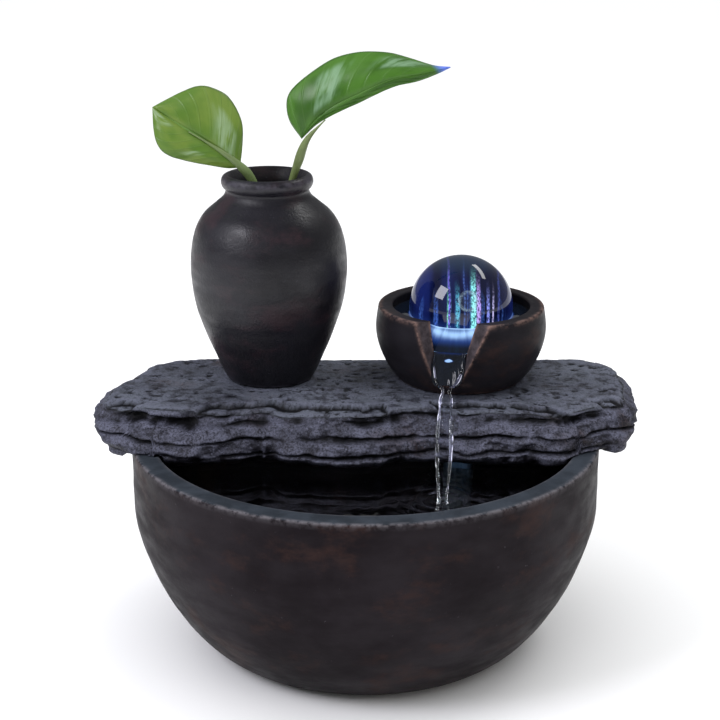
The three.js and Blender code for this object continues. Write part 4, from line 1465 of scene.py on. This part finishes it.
@dataclass
class BallCup:
    """The notched cup.

    At each height its wall runs round from one face of the notch to the other. The notch's half
    width grows evenly with height, more on the outside than on the inside, so its faces flare
    outwards. It is closed off by sqrt(1 - exp(-(z - z0) / 0.5)), which rounds its foot, and its
    middle leans to the left towards the foot.
    """

    wall: float = 5.6
    floor: float = 4.4
    foot: float = 24.6
    belly: float = 33.0
    rim: float = 32.0
    well: float = 10.9
    sill: float = 5.0
    sill_outer: float = 4.5
    sill_inner: float = 3.5
    rim_outer: float = 14.25
    rim_inner: float = 8.85
    lean: float = 1.6
    turn: float = -10.0
    columns: int = 240
    across: int = 12
    centre: np.ndarray = field(init=False)
    base: float = field(init=False)
    tall: float = field(init=False)
    shape: np.ndarray = field(init=False)

    def __post_init__(self) -> None:
        """Takes the cup's place and height from the frame, and works out its flank."""
        low, high = node_box("ball_cup")
        ball_low, ball_high = node_box("glass_ball")
        self.centre = (ball_low + ball_high)[:2] / 2
        self.base, self.tall = low[2], high[2] - low[2]
        self.shape = spline([
            (self.foot, 0.4), (self.foot + 4, 0.2 * self.tall), (self.belly - 1.2, 0.45 * self.tall),
            (self.belly, 0.7 * self.tall), (self.rim, self.tall),
        ], 120)

    def outer(self, z: object) -> np.ndarray:
        """The outer radius at a height above the cup's base."""
        return np.interp(z, self.shape[:, 1], self.shape[:, 0])

    def half_width(self, z: object, inside: object) -> np.ndarray:
        """The notch's half width at a height, from 0 on the outer wall to 1 on the inner one.

        Args:
            z: heights above the cup's base.
            inside: 0 on the outer wall, 1 on the inner one.

        Returns:
            The half widths in millimetres.
        """
        above = np.maximum(np.asarray(z, float) - self.sill, 0)
        share = above / (self.tall - self.sill)
        outer = self.sill_outer + (self.rim_outer - self.sill_outer) * share
        inner = self.sill_inner + (self.rim_inner - self.sill_inner) * share
        return (outer + (inner - outer) * np.asarray(inside, float)) * np.sqrt(1 - np.exp(-above / 0.5))

    def middle(self, z: object) -> np.ndarray:
        """How far the notch's middle stands off to the side at a height."""
        share = np.clip((np.asarray(z, float) - self.sill) / (self.tall - self.sill), 0, 1)
        return -self.lean * (1 - share)

    def placed(self, across: object, out: object, z: object) -> np.ndarray:
        """Points from the notch's own axes: across it, out along it, and up from the cup's base.

        Args:
            across: distances to the side.
            out: distances out from the cup's middle.
            z: heights above the cup's base.

        Returns:
            The points in millimetres.
        """
        turn = math.radians(self.turn)
        x = across * math.cos(turn) + out * math.sin(turn)
        y = across * math.sin(turn) - out * math.cos(turn)
        return np.stack(np.broadcast_arrays(self.centre[0] + x, self.centre[1] + y, self.base + z), axis=-1)

    def walls(self) -> tuple[np.ndarray, np.ndarray, np.ndarray]:
        """The heights above the sill, and the outer and inner radius at each.

        Returns:
            Three arrays: heights, outer radii, inner radii.
        """
        corner = 0.9
        plain = self.sill + (self.tall - corner - self.sill) * np.linspace(0, 1, 44) ** 1.5
        turn = np.radians(np.linspace(0, 90, 7))[1:]
        heights = np.concatenate([plain, self.tall - corner + corner * np.sin(turn)])
        outer = self.outer(heights)
        tuck = np.concatenate([np.zeros(len(plain)), corner * (1 - np.cos(turn))])
        return heights, outer - tuck, outer - self.wall + tuck

    def ring(self, radius: np.ndarray, z: np.ndarray, inside: object) -> np.ndarray:
        """Rows of points round the cup from the notch's right face to its left one.

        Args:
            radius: each row's radius.
            z: each row's height above the cup's base.
            inside: how far in each row lies, from 0 to 1.

        Returns:
            The grid of points.
        """
        half, middle = self.half_width(z, inside), self.middle(z)
        start = np.arcsin(np.clip((middle + half) / radius, -1, 1))
        end = 2 * np.pi + np.arcsin(np.clip((middle - half) / radius, -1, 1))
        angle = start[:, None] + np.linspace(0, 1, self.columns)[None, :] * (end - start)[:, None]
        return self.placed(np.sin(angle) * radius[:, None], np.cos(angle) * radius[:, None], z[:, None])

    def build(self) -> None:
        """Builds the cup from its walls, its rim, its two cut faces, its floor and its foot."""
        heights, outer, inner = self.walls()
        rise = np.linspace(0.4, self.sill, 10)
        low_z = np.concatenate([[0.0, 0.0, 0.0], rise])
        low_r = np.concatenate([[self.well, 18, self.foot - 0.6], self.outer(rise)])
        low_r[-1] = outer[0]
        share = np.linspace(0, 1, self.across + 1)
        rim_r = outer[-1] + (inner[-1] - outer[-1]) * share
        fall = self.floor + (self.sill - self.floor) * np.linspace(0.8, 0, 6)
        bowl_z = np.concatenate([[self.sill], fall, [self.floor, self.floor, 0.0]])
        bowl_r = np.concatenate([[inner[0]], inner[0] - 3.5 * np.linspace(0.12, 1, 6) ** 1.4,
            [17, self.well, self.well]])
        rings = [
            self.ring(low_r, low_z, 0), self.ring(outer, heights, 0),
                self.ring(rim_r, np.full(len(rim_r), self.tall), share),
            self.ring(inner[::-1], heights[::-1], 1), self.ring(bowl_r, bowl_z, 1),
        ]
        radius = outer[:, None] + (inner - outer)[:, None] * share[None, :]
        z = np.broadcast_to(heights[:, None], radius.shape)
        half, middle = self.half_width(z, share[None, :]), self.middle(z)
        faces = []
        for hand in (1, -1):
            across = middle + hand * half
            hold = np.sin(np.pi * share[None, :]) * ease(self.tall - z, 0, 2) * ease(half, 0.5, 3)
            across = across + 0.45 * hand * fractal(self.placed(across, radius, z), 4.2, 131, 3) * hold
            faces.append(self.placed(across, np.sqrt(radius**2 - across**2), z))
        faces[0] = faces[0][:, ::-1]
        grids = [(grid, False) for grid in [*rings, *faces]]
        insides = [0, 0, share[:, None], 1, 1, share[None, ::-1], share[None, :]]
        marks = [self.wear(grid, inside) for (grid, _), inside in zip(grids, insides)]
        cut = ([np.zeros(grid.shape[:2]) for grid, _ in grids[:5]]
            + [np.ones(grid.shape[:2]) for grid, _ in grids[5:]])
        piece = make_mesh("cup_body", grids, {"wear": marks, "cut": cut}, sharp=38)
        soften = piece.modifiers.new("edges", "BEVEL")
        soften.width = 0.4 * MM
        soften.segments = 2
        soften.limit_method = "ANGLE"
        soften.angle_limit = math.radians(40)
        dress(piece, RubbedResin(
            "cup_resin", (0.0085, 0.0075, 0.0095), (0.0185, 0.017, 0.0215), (0.045, 0.022, 0.018),
            (0.22, 0.14, 0.12), 0.4, 0.3, 0.45, raw=(0.075, 0.062, 0.07),
        ).make())
        settle(piece, "top", "cup_resin", "ball_cup")

    def wear(self, grid: np.ndarray, inside: object) -> np.ndarray:
        """How worn each point is: along the rim, and along the notch's cut edges.

        Args:
            grid: the points, in millimetres.
            inside: how far in each lies, from 0 to 1.

        Returns:
            The wear at each point, from 0.
        """
        turn = math.radians(self.turn)
        offset = grid[..., :2] - self.centre
        across = offset[..., 0] * math.cos(turn) + offset[..., 1] * math.sin(turn)
        out = offset[..., 0] * math.sin(turn) - offset[..., 1] * math.cos(turn)
        z = grid[..., 2] - self.base
        radius = np.hypot(across, out)
        outer = self.outer(z)
        rim = bump(np.hypot(radius - outer + 0.5, z - self.tall + 0.4), 0, 0.85)
        side = np.where((out > 0) & (z > self.sill - 1),
            np.abs(np.abs(across - self.middle(z)) - self.half_width(z, inside)), 9)
        edges = bump(side, 0, 0.5) * np.maximum(bump(radius - outer, 0, 0.75),
            bump(radius - outer + self.wall, 0, 0.6))
        lip = (bump(z, self.sill, 1.2) * bump(across - self.middle(z), 0, 6)
            * (out > 0) * bump(radius - outer, 0, 1.5))
        foot = bump(z, 0.3, 0.5) * 0.5
        return np.clip(0.65 * rim + 0.95 * edges + 0.8 * lip + foot, 0, 1)


@dataclass
class GlassBall:
    """The glass ball."""

    rows: int = 72
    columns: int = 128

    def build(self) -> None:
        """Builds the ball with even rings from pole to pole."""
        low, high = node_box("glass_ball")
        centre, radius = (low + high) / 2, (high[2] - low[2]) / 2
        turn = np.linspace(-np.pi / 2, np.pi / 2, self.rows)
        profile = np.stack([np.maximum(radius * np.cos(turn), 0), radius * np.sin(turn)], axis=1)
        profile[[0, -1], 0] = 0
        piece = make_mesh("ball_body", [(revolve(profile, full_turn(self.columns)) + centre, True)])
        dress(piece, LitBallGlass().make())
        settle(piece, "ball", "ball_glass", "glass_ball")


# ---- The moving water -----------------------------------------------------------------------


@dataclass
class MovingWater:
    """The water in the cup, its sheet in the notch, and the stream down to the basin."""

    cup: BallCup
    basin: Basin
    below_rim: float = 4.3
    fall: float = 7.4
    reach: float = 31.0

    def cup_water(self) -> None:
        """Builds the ring of water round the ball, with painted light in it.

        Its height is the level, raised by the meniscus at both walls. Towards the notch it is
        drawn down by an eased step of the angle times share^1.3, share going from ball to wall.
        """
        cup = self.cup
        level = cup.tall - self.below_rim
        low, high = node_box("glass_ball")
        ball_z = (low + high)[2] / 2 - cup.base
        contact = math.sqrt(((high - low)[2] / 2) ** 2 - (level - ball_z) ** 2) + 0.05
        wall = float(cup.outer(level)) - cup.wall - 0.05
        angle = full_turn(288)[None, :]
        share = np.linspace(0, 1, 36)[:, None] ** 1.2
        radius = contact + (wall - contact) * share
        turn = np.minimum(angle, 2 * np.pi - angle)
        near = 1 - ease(turn, 0.3, 0.54)
        rise = 0.6 * np.exp(-share * 9) + 0.4 * np.exp((share - 1) * 9)
        z = level + rise * (1 - 0.8 * near) - self.fall * near * share**1.3
        grid = cup.placed(np.sin(angle) * radius, np.cos(angle) * radius, z)
        grid[..., 2] += 0.1 * lattice_noise(grid, 4, 7) * share
        # painted light: a pool of LED light in the water round the ball, towards the notch, and a bright
        # line where the water meets the ball
        streaks = 0.92 + 0.16 * lattice_noise(
            np.dstack([turn * 40 + 0 * share, share * 1.2 + 0 * turn, 0 * turn * share]), 1, 5)
        band = 0.5 + 0.5 * bump(share, 0.34 - 0.3 * turn, 0.17)
        light_pool = (1 - ease(turn, 0.28, 0.6)) * band * (1 - ease(share, 0.42, 0.86)) * streaks
        line_round = 0.5 * bump(share * (wall - contact), 0, 0.5)
        glow = np.clip(light_pool + line_round, 0, 1)
        piece = make_mesh("cup_water", [(grid, True)], {"glow": [glow]}, closed=False)
        # painted shade: the water is dark and only a tenth clear; its glow is painted light
        dress(piece, Water("lit_water", (0.006, 0.01, 0.02), 0.04, glow=1.2, clear=0.1).make())
        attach(piece, "top")
        self.sheet(level - self.fall, wall - 0.9)

    def sheet(self, start: float, out_start: float) -> None:
        """Builds the sheet that slides down the notch: dark and a quarter clear, as painted shade, with
        painted light at its top and one painted highlight.

        Downwards it runs straight from the end of the cup's water to just past the sill. Across
        it fills the notch, and it stands a little thicker along both cut faces.

        Args:
            start: the height of its top, above the cup's base.
            out_start: how far out its top is.
        """
        cup = self.cup
        share = np.linspace(0, 1, 50)[:, None]
        u = np.linspace(-1, 1, 41)[None, :]
        z = start + (cup.sill + 0.6 - start) * share + 0 * u
        out = out_start + (self.reach - out_start) * share**0.9
        inside = np.clip((cup.outer(z) - out) / cup.wall, 0, 1)
        width = np.maximum(cup.half_width(z, inside) - 0.1, 0.4)
        folds = 0.22 * np.sin(u * 6 + share * 5) * share + 0.12 * np.sin(u * 15 - share * 9)
        out = out + 0.7 * np.abs(u) ** 8 - 1.0 * (1 - u**2) * np.sin(np.pi * share) + folds
        grid = cup.placed(cup.middle(z) + width * u, out, z)
        # painted highlight: one bright spot on the sheet, and painted light along its top, all as emission
        fleck_and_glint = bump(np.hypot((u - 0.02) * 1.25, (share - 0.27 + 0.04 * u) * 9), 0, 0.5)
        glow = (0.2 * (1 - ease(share, 0, 0.1)) * (1 - u**2)
            + ease(fleck_and_glint + 0.35 * lattice_noise(grid, 2.2, 67), 0.5, 0.75))
        piece = make_mesh("notch_water", [(grid, False)], {"glow": [glow + 0 * u]}, closed=False)
        solid = piece.modifiers.new("thickness", "SOLIDIFY")
        solid.thickness = 0.5 * MM
        solid.offset = 0
        # painted shade: the film is dark and only a quarter clear; its glow is painted light
        dress(piece, Water("notch_film", (0.012, 0.015, 0.022), 0.03, glow=1.0, clear=0.25).make())
        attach(piece, "top")

    def course(self, hand: float) -> list[np.ndarray]:
        """The points that one edge of the stream goes through.

        Args:
            hand: -1 for the left edge, 1 for the right one, 0 for the middle.

        Returns:
            The points from inside the notch to the basin's water.
        """
        cup = self.cup
        top = node_box("rock_slab")[1][2]
        level = self.basin.height - self.basin.water_below_rim
        points = []
        for z, inside, out, gap in ((16.5, 0.95, 27.0, 0.4), (11.5, 0.5, 29.2, 0.8),
            (cup.sill + 2.4, 0.1, 30.8, 1.3)):
            across = cup.middle(z) + hand * (cup.half_width(z, inside) - gap)
            points.append(cup.placed(float(across), out, z))
        x, y = cup.placed(float(cup.middle(cup.sill)), self.reach, cup.sill)[:2]
        splash = self.basin.splash
        for along, drop, spread in (
            (0.01, -4.3, 1.3), (0.03, -1.4, 2.0), (0.14, -0.7, 2.1), (0.31, 0.4, 2.1),
            (0.52, 4.6, 2.5), (0.74, 11.6, 2.4), (0.9, 18.2, 1.8), (1.0, top - level + 0.4, 1.3),
        ):
            points.append(np.array([
                x + (splash[0] - x) * along + hand * spread, y + (splash[1] - y) * along, top - drop,
            ]))
        return points

    def stream(self) -> None:
        """Builds the two strands that leave the notch, and the film of water held between them."""
        level = self.basin.height - self.basin.water_below_rim
        rows, film_from = 160, 56  # the film starts that many rows down, clear of the slab's top
        share = np.linspace(0, 1, rows)
        for name, hand, thick, seed in (("strand_left", -1, 0.5, 3), ("strand_right", 1, 0.56, 8)):
            path = spline(self.course(hand), rows)
            beads = 1 + 0.4 * lattice_noise(np.stack([share * 60, share * 0, share * 0], axis=1), 2.6, seed)
            radii = thick * beads * (0.6 + 0.4 * ease(share, 0.02, 0.22)) * ease(share, -0.02, 0.04)
            grid = sweep(path, radii, 24, 0.7)
            outside = (grid[..., 0] - path[[0, *range(rows), -1], None, 0].reshape(-1, 1)) * hand
            # painted highlight: pale glints along each strand's outer side, broken into dashes above the
            # pool, with a faint glow all along, as emission
            glint = bump(outside / np.maximum(radii[[0, *range(rows), -1]], 0.1)[:, None], 0.75, 0.3)
            broken = (ease(lattice_noise(grid, (9, 4, 2.6), seed + 40), 0.05, 0.26)
                * ease(grid[..., 2], level + 0.5, level + 3))
            piece = make_mesh(f"stream_{name}", [(grid, True)], {"glow": [(0.15 + 0.85 * glint) * broken]})
            dress(piece, Water(f"{name}_water", (0.93, 0.96, 1.0), glow=0.85, far=(0.3, 0.3, 0.5),
                near=(0.85, 0.85, 1.0)).make())
            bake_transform(piece)
        left, right = (spline(self.course(hand), rows)[film_from:] for hand in (-0.85, 0.85))
        u = np.linspace(0, 1, 25)[None, :, None]
        grid = left[:, None] * (1 - u) + right[:, None] * u
        along = share[film_from:, None]
        grid[..., 2] -= 0.4 * np.sin(np.pi * u[..., 0]) + 0.12 * np.sin(u[..., 0] * 9 + along * 30)
        # painted light: faint patches of glow in the film, as emission
        glow = 0.3 * ease(lattice_noise(grid, (0.8, 3, 3), 61), 0.35, 0.8)
        piece = make_mesh("stream_film", [(grid, False)], {"glow": [glow]}, closed=False)
        solid = piece.modifiers.new("thickness", "SOLIDIFY")
        solid.thickness = 0.4 * MM
        solid.offset = 0
        dress(piece, Water("film_water", (0.93, 0.95, 0.98), glow=0.1, far=(0.3, 0.3, 0.5), gloss=0.1,
            index=1.05).make())
        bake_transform(piece)
        LOG.info("the moving water is in place")


# ---- Pump, light and small parts ------------------------------------------------------------


class Carried(Enum):
    """Finishes for the frame's own nodes that stay in view, each with the nodes that wear it."""

    # painted light: the pump's case and its parts glow faintly, though they are no lamp
    PUMP = (Moulded("pump_black", (0.05, 0.062, 0.068), 0.35, glow=0.02),
        ("pump_case", "pump_volute", "pump_cover", "outlet_spigot", "led_socket"))
    DIAL = (Moulded("dial_grey", (0.16, 0.18, 0.2), 0.25), ("flow_dial",))
    RUBBER = (Moulded("black_rubber", (0.02, 0.02, 0.021), 0.7, grain=0.00008),
        ("nozzle_grommet", "bush_front", "bush_rear", "cable_gland"))
    PADS = (Moulded("pad_rubber", (0.028, 0.028, 0.03), 0.75, grain=0.0001),
        ("foot_pad_1", "foot_pad_2", "foot_pad_3", "foot_pad_4"))
    SUCKERS = (Moulded("sucker_vinyl", (0.05, 0.055, 0.06), 0.3),
        ("suction_cup_1", "suction_cup_2", "suction_cup_3", "suction_cup_4"))
    PLATE = (Moulded("plate_silver", (0.5, 0.52, 0.55), 0.4), ("rating_plate",))
    FOAM = (Moulded("filter_foam", (0.03, 0.032, 0.034), 0.95, grain=0.0004), ("filter_foam",))
    SEAL = (Moulded("seal_silicone", (0.3, 0.1, 0.045), 0.5), ("pump_seal",))
    WHITE = (Moulded("impeller_white", (0.75, 0.75, 0.72), 0.35), ("impeller", "led_can"))
    MAGNET = (Moulded("ferrite", (0.045, 0.045, 0.05), 0.4, 0.6), ("rotor_magnet",))
    SHAFT = (Moulded("alumina", (0.78, 0.74, 0.66), 0.2), ("rotor_shaft",))
    BOARD = (Moulded("board_green", (0.02, 0.12, 0.05), 0.45), ("led_board",))
    CHIPS = (Moulded("lit_chip", (0.5, 0.7, 1.0), 0.2, glow=2.0),
        ("led_chip_1", "led_chip_2", "led_chip_3", "led_chip_4"))
    LEAD = (Moulded("lead_black", (0.015, 0.015, 0.016), 0.45), ("led_lead",))
    # painted light: the clear seat and nozzle glow, though they are no lamps
    CLEAR = (Moulded("clear_plastic", (0.85, 0.92, 1.0), 0.12, clear=0.85, glow=0.1),
        ("ball_seat", "jet_nozzle"))
    LENS = (Moulded("lit_lens", (0.7, 0.85, 1.0), 0.15, glow=0.6), ("led_lens",))
    HOSE = (Moulded("hose_silicone", (0.7, 0.75, 0.78), 0.3, clear=0.5), ("riser_hose",))

    def apply(self) -> None:
        """Dresses the nodes that wear this finish."""
        finish, names = self.value
        material = finish.make()
        for name in names:
            dress(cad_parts[name], material)


# ---- Light, floor and camera ----------------------------------------------------------------


@dataclass
class Studio:
    """A pale floor, soft lights and the camera."""

    camera_place: tuple[float, float, float] = (-0.0021, -0.5734, 0.2971)
    camera_tilt: float = 71.95
    lens: float = 79.8
    surround: float = 0.26
    from_above: float = 2.55

    def camera(self) -> None:
        """Makes the camera."""
        data = bpy.data.cameras.new("camera")
        data.lens = self.lens
        data.sensor_width = 36
        data.dof.use_dof = False
        data.clip_end = 100
        item = bpy.data.objects.new("camera", data)
        item.location = self.camera_place
        item.rotation_euler = (math.radians(self.camera_tilt), 0, 0)
        bpy.context.scene.collection.objects.link(item)
        bpy.context.scene.camera = item

    def floor(self) -> None:
        """Makes a wide, level, pale floor."""
        span = np.linspace(-16000, 16000, 17)
        grid = np.stack(np.broadcast_arrays(span[None, :], span[:, None], -0.05), axis=-1).astype(float)
        piece = make_mesh("studio_floor", [(grid, False)], closed=False)
        n = Nodes("paper_white")
        n.set(Base_Color=n.blend(n.noise(3), (0.95, 0.95, 0.955), (0.97, 0.97, 0.97)), Roughness=0.95)
        n.shader.inputs["Specular IOR Level"].default_value = 0.1
        dress(piece, n.material)

    def light(self, name: str, place: tuple, aim: tuple, size: tuple, power: float,
        color: tuple = (1, 1, 1), shines: bool = True) -> None:
        """Makes one soft box that faces a point.

        Args:
            name: its name.
            place: where it is, in metres.
            aim: the point that it faces.
            size: its width and height.
            power: its power in watts.
            color: its colour.
            shines: whether it shows in reflections.
        """
        data = bpy.data.lights.new(name, "AREA")
        data.shape = "RECTANGLE"
        data.size, data.size_y = size
        data.energy = power
        data.color = color
        item = bpy.data.objects.new(name, data)
        item.location = place
        direction = np.array(aim, float) - np.array(place, float)
        flat = math.hypot(direction[0], direction[1])
        item.rotation_euler = (math.atan2(flat, -direction[2]), 0,
            math.atan2(direction[1], direction[0]) - math.pi / 2)
        item.visible_glossy = shines
        bpy.context.scene.collection.objects.link(item)

    def overhead(self) -> None:
        """Makes the very soft light from above, which shows in no reflection."""
        data = bpy.data.lights.new("overhead", "SUN")
        data.energy = self.from_above
        data.angle = math.radians(100)
        data.color = (0.985, 0.99, 1.0)
        item = bpy.data.objects.new("overhead", data)
        item.visible_glossy = False
        bpy.context.scene.collection.objects.link(item)

    def build(self) -> None:
        """Sets up the camera, the floor, the lights and the pale surround."""
        self.camera()
        self.floor()
        self.overhead()
        world = bpy.data.worlds.new("studio")
        world.use_nodes = True
        world.node_tree.nodes["Background"].inputs[0].default_value = (0.97, 0.985, 1.0, 1.0)
        world.node_tree.nodes["Background"].inputs[1].default_value = self.surround
        bpy.context.scene.world = world
        self.light("key", (-0.76, -0.43, 0.79), (0, 0, 0.12), (0.42, 0.5), 6.6, (0.93, 0.92, 1.0))
        self.light("strip", (0.5, 0.35, 0.9), (0, 0, 0.1), (0.6, 0.12), 1.6)
        self.light("fill", (0.8, -0.5, 0.3), (0, 0, 0.1), (0.4, 0.6), 1.0, (1.0, 0.93, 0.86), False)
        view = bpy.context.scene.view_settings
        view.view_transform = "Standard"


def main() -> None:
    """Builds every piece in order."""
    logging.basicConfig(level=logging.INFO, format="%(message)s")
    Studio().build()
    basin = Basin()
    basin.build()
    basin.water()
    Slab().build()
    Vase().build()
    Sprigs().build()
    cup = BallCup()
    cup.build()
    GlassBall().build()
    water = MovingWater(cup, basin)
    water.cup_water()
    water.stream()
    for finish in Carried:
        finish.apply()


if __name__ == "__main__":
    main()
